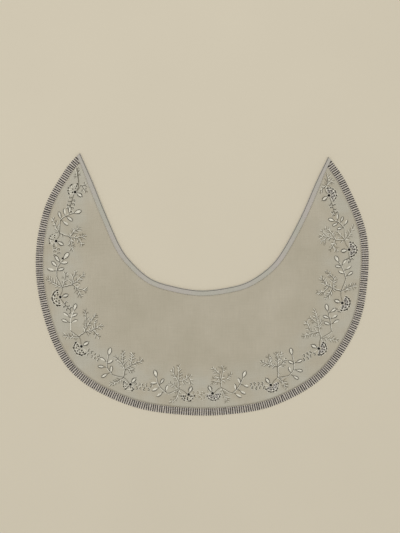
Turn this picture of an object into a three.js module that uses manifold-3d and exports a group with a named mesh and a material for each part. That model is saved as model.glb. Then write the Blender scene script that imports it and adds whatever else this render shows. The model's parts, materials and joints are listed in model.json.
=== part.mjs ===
// Embroidered collar, lying flat with its face up.
// Millimetres, +Z up. The tips point along +Y and the centre back of the neck is near X = 0.
// The origin is on the surface that the collar lies on.
// Left and right are those of the picture: left is -X.

import * as THREE from "three";
import { mergeVertices } from "three/addons/utils/BufferGeometryUtils.js";
import Module from "manifold-3d";

const wasm = await Module();
wasm.setup();

// The outer edge from the left tip round the back to the right tip.
const OUTER_EDGE = [
  { x: -109.5, y: 118.4 },
  { x: -123.9, y: 101.1 },
  { x: -141.6, y: 67.9 },
  { x: -149.3, y: 25.0 },
  { x: -145.1, y: -18.1 },
  { x: -130.2, y: -61.0 },
  { x: -106.1, y: -89.0 },
  { x: -63.1, y: -109.8 },
  { x: -19.9, y: -117.2 },
  { x: 23.3, y: -117.1 },
  { x: 66.5, y: -108.5 },
  { x: 109.7, y: -82.8 },
  { x: 138.9, y: -39.8 },
  { x: 148.5, y: 3.4 },
  { x: 147.2, y: 46.6 },
  { x: 130.1, y: 89.6 },
  { x: 113.1, y: 115.2 },
];

// The neck edge, again from tip to tip.
const NECK_EDGE = [
  { x: -109.5, y: 118.4 },
  { x: -97.8, y: 91.9 },
  { x: -86.0, y: 62.9 },
  { x: -73.1, y: 34.1 },
  { x: -62.6, y: 19.7 },
  { x: -46.9, y: 5.9 },
  { x: -28.9, y: -0.8 },
  { x: -1.9, y: -5.3 },
  { x: 25.2, y: -2.3 },
  { x: 43.3, y: 3.7 },
  { x: 61.5, y: 17.0 },
  { x: 73.8, y: 33.7 },
  { x: 89.0, y: 62.5 },
  { x: 101.6, y: 91.4 },
  { x: 113.1, y: 115.2 },
];

const GAP = 0.3;
const CLOTH = 1.0;

// The tape is folded over the neck edge, so it has a leaf under the cloth and a leaf over it.
const BINDING_WIDTH = 5.4;
const BINDING_LEAF = 1.0;
const BINDING_HEIGHT = 2 * BINDING_LEAF + CLOTH + 2 * GAP;
const BINDING_ROUNDING = 0.8;
const BINDING_STEPS = 40;

const EDGING_WIDTH = 6.3;
const EDGING_HEIGHT = 1.2;
const EDGING_RAIL = 1.1;
const EDGING_SLOTS = 100;
const EDGING_BAR = 2.4;
const EDGING_FIRST_SLOT = 13;

// The cloth lies on the surface at its outer edge and rises over the tape's under leaf at the neck.
const CLOTH_LIFT = BINDING_LEAF + GAP;
const LIFT_START = 6.5;
const LIFT_END = 22;
const SWELL = 1.0;
const SWELL_START = 40;
const SWELL_FULL = 58;
const SWELLS_PER_TURN = 7;
const GROUND_COLUMNS = 48;
const GROUND_ROWS = 5;
const ROW_CROWDING = 1.7;
// How far from each tip the cloth ends, along the outer edge and along the neck edge.
const GROUND_END = { outer: 8, neck: 9 };

const RELIEF = 0.7;
const THREAD = 1.3;
const BEND_STEP = 5;

// The embroidery is drawn on a chart. One square of the chart is this many millimetres.
// A place on it is [u, v]: u runs along the border towards the centre back, v runs inward to the neck,
// and [0, 0] is the spray's dark knot.
const SQUARE = 0.9;
const KNOT_RADIUS = 1.1;
const RING_INSIDE = KNOT_RADIUS + GAP;
const RING_OUTSIDE = 2.3;
const RING_SIDES = 8;
const FAN = { radius: 7.0, notch: 0.8, scallops: 5 };
const PETAL = { length: 6.0, width: 3.0 };
const LEAF = { length: 6.2, width: 2.8 };
const TOP_LEAF = { length: 6.8, width: 3.8 };
// How far back along the stem a leaf's foot is, so that the leaf leans towards the top leaf.
const LEAF_LEAN = 1.6;

// outward: the direction from the knot to the outer edge, in degrees from +X.
// fan: the fan's size against the full one. fan_turn and petal_turn: degrees, petal_turn towards the back.
const SPRAYS = [
  { name: "left_1", x: -114.3, y: 82.6, outward: 147.7, fan: 0.95, fan_turn: 0, petal_turn: 0 },
  { name: "left_2", x: -131.4, y: 38.5, outward: 173.1, fan: 0.9, fan_turn: 0, petal_turn: 22 },
  { name: "left_3", x: -127.6, y: -11.9, outward: -168.1, fan: 1.15, fan_turn: 0, petal_turn: -4 },
  { name: "left_4", x: -108.6, y: -56.3, outward: -149.1, fan: 1.1, fan_turn: 0, petal_turn: 0 },
  { name: "left_5", x: -64.5, y: -90.5, outward: -111.3, fan: 0.9, fan_turn: -15, petal_turn: 18 },
  { name: "left_6", x: -12.1, y: -99.5, outward: -92.2, fan: 0.9, fan_turn: 0, petal_turn: 18 },
  { name: "right_1", x: 114.1, y: 79.6, outward: 29.2, fan: 0.95, fan_turn: 0, petal_turn: 8 },
  { name: "right_2", x: 132.3, y: 30.8, outward: 3.7, fan: 1, fan_turn: 0, petal_turn: 8 },
  { name: "right_3", x: 126.1, y: -17.2, outward: -19.0, fan: 1, fan_turn: 0, petal_turn: 0 },
  { name: "right_4", x: 105.0, y: -58.2, outward: -39.3, fan: 0.95, fan_turn: -20, petal_turn: 14 },
  { name: "right_5", x: 61.7, y: -91.0, outward: -72.3, fan: 1, fan_turn: -10, petal_turn: 18 },
  { name: "right_6", x: 9.4, y: -98.5, outward: -89.8, fan: 0.95, fan_turn: -8, petal_turn: 28 },
];

// The coral: a trunk from root to fork, three boughs from the fork (near, top and far), and from the root
// a side bough, a low bough towards the outer edge and a stem that leads to the leaf sprig.
// bends: the place where a bough of that name turns.
const CORALS = [
  {
    name: "left_1", root: [-8.6, 1], fork: [-9, 3], near: [-6.5, 8], far: [-12, 5.5],
    low: [-20.5, -11.5],
  },
  {
    name: "left_2", root: [-8, 2.5], fork: [-5.5, 13], near: [6, 16], top: [-8.5, 27.5], far: [-15.5, 21],
    low: [-21, -5], stem: [-20, 1.8],
  },
  {
    name: "left_3", root: [-9, 4], fork: [-9.5, 14], near: [-1, 25], top: [-17, 27], far: [-20.5, 20],
    side: [-21, 10], low: [-20, -8.5], stem: [-20, 1],
  },
  {
    name: "left_4", root: [-9.5, 3], fork: [-10.5, 10.5], near: [-7.5, 27], top: [-19, 28], far: [-28, 21.5],
    low: [-18, -8.5], stem: [-18, -1], bends: { near: [-8.3, 17.5], top: [-15.5, 18.5] },
  },
  {
    name: "left_5", root: [-9, 4], fork: [-10, 12], near: [2, 26], top: [-18.5, 27], far: [-23, 20],
    low: [-18, -7], stem: [-19, 2.5],
  },
  {
    name: "left_6", root: [-9.5, 5], fork: [-10.5, 13], near: [0.5, 18], top: [-11, 27.5], far: [-17, 22],
    side: [-18, 10], low: [-17, -8.5], stem: [-20.5, 0],
  },
  {
    name: "right_1", root: [-8.6, 0], fork: [-9.8, -2.5], near: [-8, 5], far: [-20.5, -8.5],
    low: [-13.5, -11.5],
  },
  {
    name: "right_2", root: [-9.5, 4], fork: [-10.5, 13], near: [-1.5, 18.5], top: [-15, 27], far: [-22, 21],
    side: [-18, 10.5], low: [-23, -6], stem: [-20.5, 3.6],
  },
  {
    name: "right_3", root: [-10.5, 5], fork: [-10.5, 14], near: [0, 17], top: [-16.5, 27], far: [-24.5, 24],
    low: [-21, -6], stem: [-23, 4.5], bends: { far: [-20, 16] },
  },
  {
    name: "right_4", root: [-9.2, 5], fork: [-12.5, 10], near: [0, 19], top: [-12.5, 26], far: [-26.5, 27],
    low: [-18, -8.5], stem: [-20, 1], bends: { top: [-8, 17.5] },
  },
  {
    name: "right_5", root: [-9, 5], fork: [-12, 15], near: [1, 24], top: [-15.5, 28], far: [-21, 19],
    low: [-14, -7.5], stem: [-19, 3.5],
  },
  {
    name: "right_6", root: [-8.6, 6], fork: [-8, 13], near: [-1, 24], top: [-10, 25], far: [-18, 19],
    low: [-15, -7], stem: [-19, 0],
  },
];

// The leaf sprigs: the size of the leaves against the full one, a stem from start through bend to the top
// leaf, and the middle of each leaf, the top leaf first.
const SPRIGS = [
  {
    name: "left_2", size: 1, start: [-21.2, 1.8], bend: [-26, 6.5],
    leaves: [[-31.5, 18], [-23.8, 10.8], [-19, 7.3], [-32.5, 9.8], [-30, 5.2], [-26.2, 0.5]],
  },
  {
    name: "left_3", size: 1.1, start: [-21.2, 1], bend: [-29, 2.5],
    leaves: [[-39, 14.2], [-33, 10], [-27, 6], [-33.6, 1], [-28.8, -3.3], [-38, 5]],
  },
  {
    name: "left_4", size: 0.95, start: [-19.2, -1], bend: [-29, 4.5],
    leaves: [[-37, 14.5], [-30.5, 9.5], [-25, 7], [-35, 3], [-30.5, -1]],
  },
  {
    name: "left_5", size: 1, start: [-20.2, 2.8], bend: [-29, 7.5],
    leaves: [[-31.3, 23], [-35, 13.2], [-27.3, 13.7], [-33.6, 6], [-23.2, 6.5], [-27.5, -1.2]],
  },
  {
    name: "left_6", size: 0.95, start: [-21.7, 0.5], bend: [-30, 7],
    leaves: [[-33.8, 19.5], [-27.2, 12], [-35.3, 10.2], [-33.8, 3.8], [-29.2, -1.2], [-22, 5.5]],
  },
  {
    name: "right_2", size: 0.82, start: [-21.7, 3.8], bend: [-28, 8.5],
    leaves: [[-30.8, 15.8], [-26, 12.3], [-21.8, 8], [-33.5, 9.6], [-30.8, 5.2], [-27.5, 1.4]],
  },
  {
    name: "right_3", size: 0.92, start: [-24.2, 4.8], bend: [-31, 9.5],
    leaves: [[-39.8, 19.3], [-33.3, 15.6], [-28.8, 10.4], [-39.5, 11.2], [-35.5, 5.5], [-30.3, 2.2]],
  },
  {
    name: "right_4", size: 0.92, start: [-21.2, 1.2], bend: [-28, 8],
    leaves: [[-36.8, 19.6], [-29, 14.4], [-24.7, 9.4], [-34.8, 8.1], [-31.8, 3.6], [-38.8, 13]],
  },
  {
    name: "right_5", size: 0.9, start: [-20.2, 3.6], bend: [-28, 8],
    leaves: [[-29.8, 25.6], [-26.3, 15.4], [-34.5, 14], [-31.8, 5], [-23, 8.6], [-26.3, -0.5]],
  },
  {
    name: "right_6", size: 0.9, start: [-20.2, 0.5], bend: [-26, 6],
    leaves: [[-31.8, 19], [-26.7, 12.2], [-33.5, 7.5], [-30.3, 1], [-26, -2.3], [-22.6, 6.2]],
  },
];

const FINISHES = {
  cloth: { color: 0xaca592, roughness: 0.9, metalness: 0 },
  tape: { color: 0xb3adb0, roughness: 0.7, metalness: 0 },
  bars: { color: 0x4e4646, roughness: 0.8, metalness: 0 },
  petals: { color: 0xcfcbba, roughness: 0.75, metalness: 0 },
  leaves: { color: 0xd8d5c8, roughness: 0.75, metalness: 0 },
  coral: { color: 0x857d6b, roughness: 0.8, metalness: 0 },
  knots: { color: 0x262221, roughness: 0.6, metalness: 0 },
};

const UP = new THREE.Vector3(0, 0, 1);

/** A smooth edge line through the given places, with its cloth on one side. */
class Edge {
  constructor(places, clothSide) {
    const points = places.map(({ x, y }) => new THREE.Vector3(x, y, 0));
    this.curve = new THREE.CatmullRomCurve3(points, false, "catmullrom", 0.5);
    this.curve.arcLengthDivisions = 800;
    this.length = this.curve.getLength();
    this.clothSide = clothSide;
    this.samples = this.curve.getSpacedPoints(240);
  }

  /**
   * The place at a distance along the edge and a distance inward from it. Past the ends the edge runs
   * straight on.
   */
  place(along, inward) {
    const inside = THREE.MathUtils.clamp(along / this.length, 0, 1);
    const point = this.curve.getPointAt(inside);
    const tangent = this.curve.getTangentAt(inside);
    const inwardAxis = UP.clone().cross(tangent).multiplyScalar(this.clothSide);
    point.addScaledVector(tangent, along - inside * this.length);
    return point.addScaledVector(inwardAxis, inward);
  }

  /** The shortest distance from a place to the edge. */
  distance(x, y) {
    let nearest = Infinity;
    const segment = new THREE.Line3();
    const closest = new THREE.Vector3();
    const place = new THREE.Vector3(x, y, 0);
    for (let i = 1; i < this.samples.length; i += 1) {
      segment.set(this.samples[i - 1], this.samples[i]);
      segment.closestPointToPoint(place, true, closest);
      nearest = Math.min(nearest, closest.distanceTo(place));
    }
    return nearest;
  }
}

const outer = new Edge(OUTER_EDGE, 1);
const neck = new Edge(NECK_EDGE, -1);

/** How far the underside of the cloth is above the surface it lies on. */
function clothHeight(x, y) {
  const fromNeck = neck.distance(x, y);
  const fromOuter = outer.distance(x, y);
  const lift = CLOTH_LIFT * (1 - THREE.MathUtils.smoothstep(fromNeck, LIFT_START, LIFT_END));
  const open = THREE.MathUtils.smoothstep(fromOuter, SWELL_START, SWELL_FULL)
    * THREE.MathUtils.smoothstep(fromNeck, LIFT_END, SWELL_FULL);
  const wave = 0.5 - 0.5 * Math.cos(SWELLS_PER_TURN * Math.atan2(y, x));
  return lift + SWELL * open * wave;
}

/** Makes a solid from a closed surface. */
function solid(geometry) {
  const bare = geometry.clone();
  bare.deleteAttribute("normal");
  bare.deleteAttribute("uv");
  const merged = mergeVertices(bare, 1e-4);
  return new wasm.Manifold(new wasm.Mesh({
    numProp: 3,
    vertProperties: new Float32Array(merged.attributes.position.array),
    triVerts: new Uint32Array(merged.index.array),
  }));
}

/** Makes a closed surface from a list of places and a list of corner numbers. */
function surface(places, corners) {
  const geometry = new THREE.BufferGeometry();
  geometry.setAttribute("position", new THREE.Float32BufferAttribute(places.flatMap((p) => p.toArray()), 3));
  geometry.setIndex(corners);
  return geometry;
}

/** A flat outline raised between two heights. */
function raised(outline, bottom, top) {
  const shape = new THREE.Shape(outline.map((p) => new THREE.Vector2(p.x, p.y)));
  const geometry = new THREE.ExtrudeGeometry(shape, { depth: top - bottom, bevelEnabled: false, steps: 1 });
  return solid(geometry.translate(0, 0, bottom));
}

/** A strip along an edge. Its section lists { inward, height } all the way round. */
function strip(edge, section, from, to, steps) {
  const area = THREE.ShapeUtils.area(section.map(({ inward, height }) => ({ x: inward, y: height })));
  const ring = area * edge.clothSide > 0 ? section : section.slice().reverse();
  const count = ring.length;
  const places = [];
  const corners = [];
  for (let step = 0; step <= steps; step += 1) {
    const along = from + ((to - from) * step) / steps;
    for (const { inward, height } of ring) {
      places.push(edge.place(along, inward).setZ(height));
    }
  }
  for (let step = 0; step < steps; step += 1) {
    for (let k = 0; k < count; k += 1) {
      const a = step * count + k;
      const b = step * count + ((k + 1) % count);
      corners.push(a, b, b + count, a, b + count, a + count);
    }
  }
  const flat = ring.map(({ inward, height }) => new THREE.Vector2(inward, height));
  const last = steps * count;
  for (const [a, b, c] of THREE.ShapeUtils.triangulateShape(flat, [])) {
    const corner = THREE.ShapeUtils.area([flat[a], flat[b], flat[c]]);
    const [second, third] = corner * edge.clothSide > 0 ? [b, c] : [c, b];
    corners.push(last + a, last + second, last + third);
    corners.push(a, third, second);
  }
  return solid(surface(places, corners));
}

/** A box-shaped section for strip(). */
function boxSection(nearSide, farSide, bottom, top) {
  return [
    { inward: nearSide, height: bottom },
    { inward: nearSide, height: top },
    { inward: farSide, height: top },
    { inward: farSide, height: bottom },
  ];
}

/** Joins solids that touch or cross into one. */
function joined(solids) {
  return wasm.Manifold.union(solids);
}

/** Turns a solid into a named mesh with its finish. */
function piece(name, body, finish) {
  const { vertProperties, triVerts } = body.getMesh();
  const geometry = new THREE.BufferGeometry();
  geometry.setAttribute("position", new THREE.Float32BufferAttribute(vertProperties, 3));
  geometry.setIndex(Array.from(triVerts));
  geometry.computeVertexNormals();
  const mesh = new THREE.Mesh(geometry, new THREE.MeshStandardMaterial(FINISHES[finish]));
  mesh.name = name;
  return mesh;
}

/** The crescent of cloth, between the fold of the tape and the edging. Its rows crowd towards the neck. */
function ground() {
  const outerInset = EDGING_WIDTH + GAP;
  const neckInset = BINDING_LEAF + GAP;
  const places = [];
  const corners = [];
  const rowLength = GROUND_ROWS + 1;
  const layer = (GROUND_COLUMNS + 1) * rowLength;
  for (const thickness of [0, CLOTH]) {
    for (let column = 0; column <= GROUND_COLUMNS; column += 1) {
      const part = column / GROUND_COLUMNS;
      const alongOuter = THREE.MathUtils.lerp(GROUND_END.outer, outer.length - GROUND_END.outer, part);
      const alongNeck = THREE.MathUtils.lerp(GROUND_END.neck, neck.length - GROUND_END.neck, part);
      const start = outer.place(alongOuter, outerInset);
      const end = neck.place(alongNeck, neckInset);
      for (let row = 0; row <= GROUND_ROWS; row += 1) {
        const fromNeck = (1 - row / GROUND_ROWS) ** ROW_CROWDING;
        const place = end.clone().lerp(start, fromNeck);
        places.push(place.setZ(clothHeight(place.x, place.y) + thickness));
      }
    }
  }
  const quad = (a, b, c, d) => corners.push(a, b, c, a, c, d);
  for (let column = 0; column < GROUND_COLUMNS; column += 1) {
    for (let row = 0; row < GROUND_ROWS; row += 1) {
      const a = column * rowLength + row;
      quad(a, a + 1, a + rowLength + 1, a + rowLength);
      quad(layer + a, layer + a + rowLength, layer + a + rowLength + 1, layer + a + 1);
    }
    const nearOuter = column * rowLength;
    const nearNeck = nearOuter + GROUND_ROWS;
    quad(nearOuter, nearOuter + rowLength, layer + nearOuter + rowLength, layer + nearOuter);
    quad(nearNeck + rowLength, nearNeck, layer + nearNeck, layer + nearNeck + rowLength);
  }
  for (let row = 0; row < GROUND_ROWS; row += 1) {
    const last = GROUND_COLUMNS * rowLength + row;
    quad(row + 1, row, layer + row, layer + row + 1);
    quad(last, last + 1, layer + last + 1, layer + last);
  }
  return solid(surface(places, corners));
}

/** Everything inside the outer edge, closed straight across between the tips. */
function insideOuterEdge() {
  return raised(outer.curve.getSpacedPoints(160), -1, BINDING_HEIGHT + 1);
}

/** The folded tape round the neck, cut off along the outer edge at both tips. */
function binding() {
  const past = 9;
  const rounding = BINDING_ROUNDING;
  const underLeaf = BINDING_LEAF;
  const overLeaf = BINDING_HEIGHT - BINDING_LEAF;
  const section = [
    { inward: BINDING_WIDTH, height: 0 },
    { inward: rounding, height: 0 },
    { inward: 0, height: rounding },
    { inward: 0, height: BINDING_HEIGHT - rounding },
    { inward: rounding, height: BINDING_HEIGHT },
    { inward: BINDING_WIDTH, height: BINDING_HEIGHT },
    { inward: BINDING_WIDTH, height: overLeaf },
    { inward: BINDING_LEAF, height: overLeaf },
    { inward: BINDING_LEAF, height: underLeaf },
    { inward: BINDING_WIDTH, height: underLeaf },
  ];
  const tape = strip(neck, section, -past, neck.length + past, BINDING_STEPS);
  return tape.intersect(insideOuterEdge());
}

/** The openwork band: two rails and the bars between its slots, ended where it meets the tape. */
function edging() {
  const band = strip(
    outer,
    boxSection(0, EDGING_WIDTH, 0, EDGING_HEIGHT),
    0,
    outer.length,
    EDGING_SLOTS,
  );
  const pitch = (outer.length - 2 * EDGING_FIRST_SLOT) / EDGING_SLOTS;
  const slots = [];
  for (let i = 0; i < EDGING_SLOTS; i += 1) {
    const from = EDGING_FIRST_SLOT + i * pitch + EDGING_BAR / 2;
    const to = from + pitch - EDGING_BAR;
    const hole = boxSection(EDGING_RAIL, EDGING_WIDTH - EDGING_RAIL, -1, EDGING_HEIGHT + 1);
    slots.push(strip(outer, hole, from, to, 1));
  }
  const tapeArea = boxSection(-20, BINDING_WIDTH + GAP, -1, EDGING_HEIGHT + 1);
  const past = 20;
  const tape = strip(neck, tapeArea, -past, neck.length + past, BINDING_STEPS);
  return band.subtract(joined(slots)).subtract(tape);
}

/** Puts an outline, given in millimetres along and inward, at its place in the spray. */
function sprayFrame(spray) {
  const side = spray.name.startsWith("left") ? 1 : -1;
  const angle = THREE.MathUtils.degToRad(spray.outward);
  const outward = new THREE.Vector2(Math.cos(angle), Math.sin(angle));
  const along = new THREE.Vector2(-side * outward.y, side * outward.x);
  return ({ x, y }) => new THREE.Vector2(spray.x, spray.y)
    .addScaledVector(along, x)
    .addScaledVector(outward, -y);
}

/** A place on the chart, in millimetres. */
function charted([u, v]) {
  return new THREE.Vector2(u, v).multiplyScalar(SQUARE);
}

/** Evenly spaced places on a circle. */
function circle(centre, radius, count) {
  const places = [];
  for (let i = 0; i < count; i += 1) {
    const angle = (2 * Math.PI * i) / count;
    places.push(new THREE.Vector2(Math.cos(angle), Math.sin(angle)).multiplyScalar(radius).add(centre));
  }
  return places;
}

/** A worked line from one place to another, tapering to its end. */
function stitchedLine(from, to, width) {
  const run = to.clone().sub(from);
  const side = new THREE.Vector2(-run.y, run.x).setLength(width / 2);
  const start = from.clone().sub(run.clone().setLength(width / 3));
  return [
    start.clone().add(side),
    start.clone().sub(side),
    to.clone(),
  ];
}

/** A teardrop leaf or petal: its foot, a stalk that widens into it and its round end. */
function teardrop(foot, direction, stalk, { length, width }) {
  const axis = direction.clone().normalize();
  const side = new THREE.Vector2(-axis.y, axis.x);
  const at = (along, across) => foot.clone()
    .addScaledVector(axis, stalk + along * length)
    .addScaledVector(side, across * width);
  return [
    foot,
    at(0.42, -0.42),
    at(0.75, -0.5),
    at(1, -0.18),
    at(1, 0.18),
    at(0.75, 0.5),
    at(0.42, 0.42),
  ];
}

/** The fan of the flower: half a disc with a scalloped rim on the side of the outer edge. */
function fanOutline(spray) {
  const places = [];
  const points = FAN.scallops * 3;
  for (let i = 0; i <= points; i += 1) {
    const angle = Math.PI + (Math.PI * i) / points;
    const notched = i % 3 === 0 && i > 0 && i < points;
    const radius = (FAN.radius - (notched ? FAN.notch : 0)) * spray.fan;
    places.push(new THREE.Vector2(Math.cos(angle) * radius, Math.sin(angle) * radius - 0.4));
  }
  const turn = THREE.MathUtils.degToRad(spray.fan_turn);
  return places.map((place) => place.rotateAround(new THREE.Vector2(), turn));
}

/** Lays flat raised work on the cloth, following its height. */
function laid(body) {
  const clearance = CLOTH + GAP;
  const { min, max } = body.boundingBox();
  const nearNeck = Math.min(
    neck.distance(min[0], min[1]),
    neck.distance(min[0], max[1]),
    neck.distance(max[0], min[1]),
    neck.distance(max[0], max[1]),
  );
  const bending = nearNeck < LIFT_START ? body.refineToLength(BEND_STEP) : body;
  return bending.warp((vertex) => {
    vertex[2] += clothHeight(vertex[0], vertex[1]) + clearance;
  });
}

function flower(spray) {
  const put = sprayFrame(spray);
  const centre = new THREE.Vector2();
  const turn = THREE.MathUtils.degToRad(spray.petal_turn);
  const petalAxis = new THREE.Vector2(Math.sin(turn), Math.cos(turn));
  const petalPoint = petalAxis.clone().multiplyScalar((RING_INSIDE + RING_OUTSIDE) / 2);
  const outlines = [
    circle(centre, RING_OUTSIDE, RING_SIDES),
    fanOutline(spray),
    teardrop(petalPoint, petalAxis, 0, PETAL),
  ];
  const body = joined(outlines.map((outline) => raised(outline.map(put), 0, RELIEF)));
  return laid(body.subtract(raised(circle(centre, RING_INSIDE, RING_SIDES).map(put), -1, RELIEF + 1)));
}

function knot(spray) {
  const outline = circle(new THREE.Vector2(), KNOT_RADIUS, RING_SIDES);
  return laid(raised(outline.map(sprayFrame(spray)), 0, RELIEF));
}

function coral(spray, chart) {
  const put = sprayFrame(spray);
  const root = charted(chart.root);
  const fork = charted(chart.fork);
  const bends = chart.bends ?? {};
  const fromFork = ["near", "top", "far"].filter((name) => name in chart);
  const fromRoot = ["side", "low", "stem"].filter((name) => name in chart);
  const boughs = [
    [root, fork],
    ...fromFork.map((name) => [name in bends ? charted(bends[name]) : fork, charted(chart[name])]),
    ...fromRoot.map((name) => [root, charted(chart[name])]),
    ...Object.values(bends).map((bend) => [fork, charted(bend)]),
  ];
  const lines = boughs.map(([from, to]) => stitchedLine(from, to, THREAD));
  const twigLength = 3;
  for (const [from, to] of boughs.slice(1, 3)) {
    const middle = from.clone().lerp(to, 0.55);
    const twig = to.clone().sub(from).setLength(twigLength).rotateAround(new THREE.Vector2(), 0.9);
    lines.push(stitchedLine(middle, middle.clone().add(twig), THREAD * 0.8));
  }
  return laid(joined(lines.map((line) => raised(line.map(put), 0, RELIEF))));
}

/** The place on a line of stem places that is nearest to a given one. */
function nearestOn(stem, place) {
  let best = stem[0];
  for (let i = 1; i < stem.length; i += 1) {
    for (let part = 0; part <= 1; part += 0.05) {
      const candidate = stem[i - 1].clone().lerp(stem[i], part);
      if (candidate.distanceTo(place) < best.distanceTo(place)) {
        best = candidate;
      }
    }
  }
  return best;
}

/** A leaf's length and width made larger or smaller. */
function scaled({ length, width }, factor) {
  return { length: length * factor, width: width * factor };
}

function leafSprig(spray, chart) {
  const put = sprayFrame(spray);
  const leafSize = scaled(LEAF, chart.size);
  const topSize = scaled(TOP_LEAF, chart.size);
  const [top, ...others] = chart.leaves.map(charted);
  const start = charted(chart.start);
  const bend = charted(chart.bend);
  const lastRun = top.clone().sub(bend);
  const stemEnd = bend.clone().add(lastRun.clone().setLength(lastRun.length() - topSize.length / 2));
  const stem = [start, bend, stemEnd];
  const lean = stemEnd.clone().sub(start).setLength(LEAF_LEAN);
  const outlines = [
    stitchedLine(bend, start, THREAD),
    stitchedLine(bend, stemEnd.clone().lerp(top, 0.4), THREAD),
    teardrop(stemEnd, lastRun, 0, topSize),
  ];
  for (const leaf of others) {
    const foot = nearestOn(stem, leaf.clone().sub(lean));
    const direction = leaf.clone().sub(foot);
    const stalk = Math.max(direction.length() - leafSize.length / 2, 0);
    outlines.push(teardrop(foot, direction, stalk, leafSize));
  }
  return laid(joined(outlines.map((outline) => raised(outline.map(put), 0, RELIEF))));
}

const collar = new THREE.Group();
collar.name = "embroidered_collar";
collar.add(
  piece("ground", ground(), "cloth"),
  piece("neck_binding", binding(), "tape"),
  piece("edging", edging(), "bars"),
);
for (const spray of SPRAYS) {
  const coralChart = CORALS.find(({ name }) => name === spray.name);
  const sprigChart = SPRIGS.find(({ name }) => name === spray.name);
  collar.add(piece(`flower_${spray.name}`, flower(spray), "petals"));
  collar.add(piece(`knot_${spray.name}`, knot(spray), "knots"));
  collar.add(piece(`coral_${spray.name}`, coral(spray, coralChart), "coral"));
  if (sprigChart) {
    collar.add(piece(`leaves_${spray.name}`, leafSprig(spray, sprigChart), "leaves"));
  }
}

export default collar;
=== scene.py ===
"""An embroidered muslin collar, laid flat with its face up.

The collar is a crescent of fine cloth. A silk tape is folded over the neck edge, an openwork ladder of dark
wrapped bars runs round the outer edge, and twelve hand-worked sprays make the border.
Lengths are in metres, +Z is up and the two tips point along +Y.
"""

import json
import math
import random

import bpy
import numpy as np
from bpy.props import FloatProperty, FloatVectorProperty, IntProperty, PointerProperty
from bpy.types import Operator, Panel, PropertyGroup
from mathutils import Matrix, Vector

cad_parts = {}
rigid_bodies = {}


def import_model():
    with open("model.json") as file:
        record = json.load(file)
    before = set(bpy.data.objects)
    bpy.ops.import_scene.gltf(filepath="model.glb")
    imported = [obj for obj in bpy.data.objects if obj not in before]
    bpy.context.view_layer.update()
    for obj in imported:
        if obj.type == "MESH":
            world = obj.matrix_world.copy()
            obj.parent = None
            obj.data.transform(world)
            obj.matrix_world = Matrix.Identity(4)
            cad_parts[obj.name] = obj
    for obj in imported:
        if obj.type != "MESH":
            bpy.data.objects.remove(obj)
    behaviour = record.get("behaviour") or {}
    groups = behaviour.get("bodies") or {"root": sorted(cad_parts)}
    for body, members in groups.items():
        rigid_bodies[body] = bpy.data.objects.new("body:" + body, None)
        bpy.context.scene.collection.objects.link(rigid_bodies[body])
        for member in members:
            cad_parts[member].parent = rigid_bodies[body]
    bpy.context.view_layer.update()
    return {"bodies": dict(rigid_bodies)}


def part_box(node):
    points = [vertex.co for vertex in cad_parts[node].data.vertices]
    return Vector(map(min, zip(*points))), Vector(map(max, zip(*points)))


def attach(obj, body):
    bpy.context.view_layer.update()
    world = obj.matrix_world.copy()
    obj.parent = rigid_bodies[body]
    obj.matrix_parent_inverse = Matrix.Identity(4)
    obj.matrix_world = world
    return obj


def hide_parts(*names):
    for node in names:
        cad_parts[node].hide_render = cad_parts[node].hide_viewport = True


bl_info = {
    "name": "Embroidered Collar",
    "version": (1, 0, 0),
    "blender": (4, 5, 0),
    "location": "3D View > Sidebar > Collar",
    "description": "Makes an embroidered muslin collar with a taped neck and a ladder edging",
    "category": "Add Mesh",
}

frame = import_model()
BODY = next(iter(frame["bodies"]))

# The outer edge and the neck edge, from the left tip round the back to the right tip.
OUTER_EDGE = (
    (-0.1095, 0.1184), (-0.1239, 0.1011), (-0.1416, 0.0679), (-0.1493, 0.0250), (-0.1451, -0.0181),
    (-0.1302, -0.0610), (-0.1061, -0.0890), (-0.0631, -0.1098), (-0.0199, -0.1172), (0.0233, -0.1171),
    (0.0665, -0.1085), (0.1097, -0.0828), (0.1389, -0.0398), (0.1485, 0.0034), (0.1472, 0.0466),
    (0.1301, 0.0896), (0.1131, 0.1152),
)
NECK_EDGE = (
    (-0.1095, 0.1184), (-0.0978, 0.0919), (-0.0860, 0.0629), (-0.0731, 0.0341), (-0.0626, 0.0197),
    (-0.0469, 0.0059), (-0.0289, -0.0008), (-0.0019, -0.0053), (0.0252, -0.0023), (0.0433, 0.0037),
    (0.0615, 0.0170), (0.0738, 0.0337), (0.0890, 0.0625), (0.1016, 0.0914), (0.1131, 0.1152),
)
EDGING_WIDTH = 0.0063

# Towards a tip the tape narrows from its full width to a smaller one, between these two distances from it.
TAPE_WIDTH = 0.0054
TIP_TAPE_WIDTH = 0.0043
NARROW_END, NARROW_START = 0.010, 0.034

# Near the neck the cloth is lifted by the tape's lower leaf. In the open field it swells a little.
CLOTH_LIFT = 0.0007
LIFT_START, LIFT_END = 0.0065, 0.022
SWELL = 0.001
SWELL_START, SWELL_FULL = 0.040, 0.058
SWELLS_PER_TURN = 7

# The embroidery is drawn on a chart. One square of the chart is this long. A place on it is (u, v):
# u runs along the border towards the centre back, v runs inward to the neck, (0, 0) is the spray's knot.
SQUARE = 0.0009


def named(columns, rows):
    """Rows of a table as dictionaries with the columns' names."""
    return {name: dict(zip(columns, row)) for name, row in rows.items()}


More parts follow.
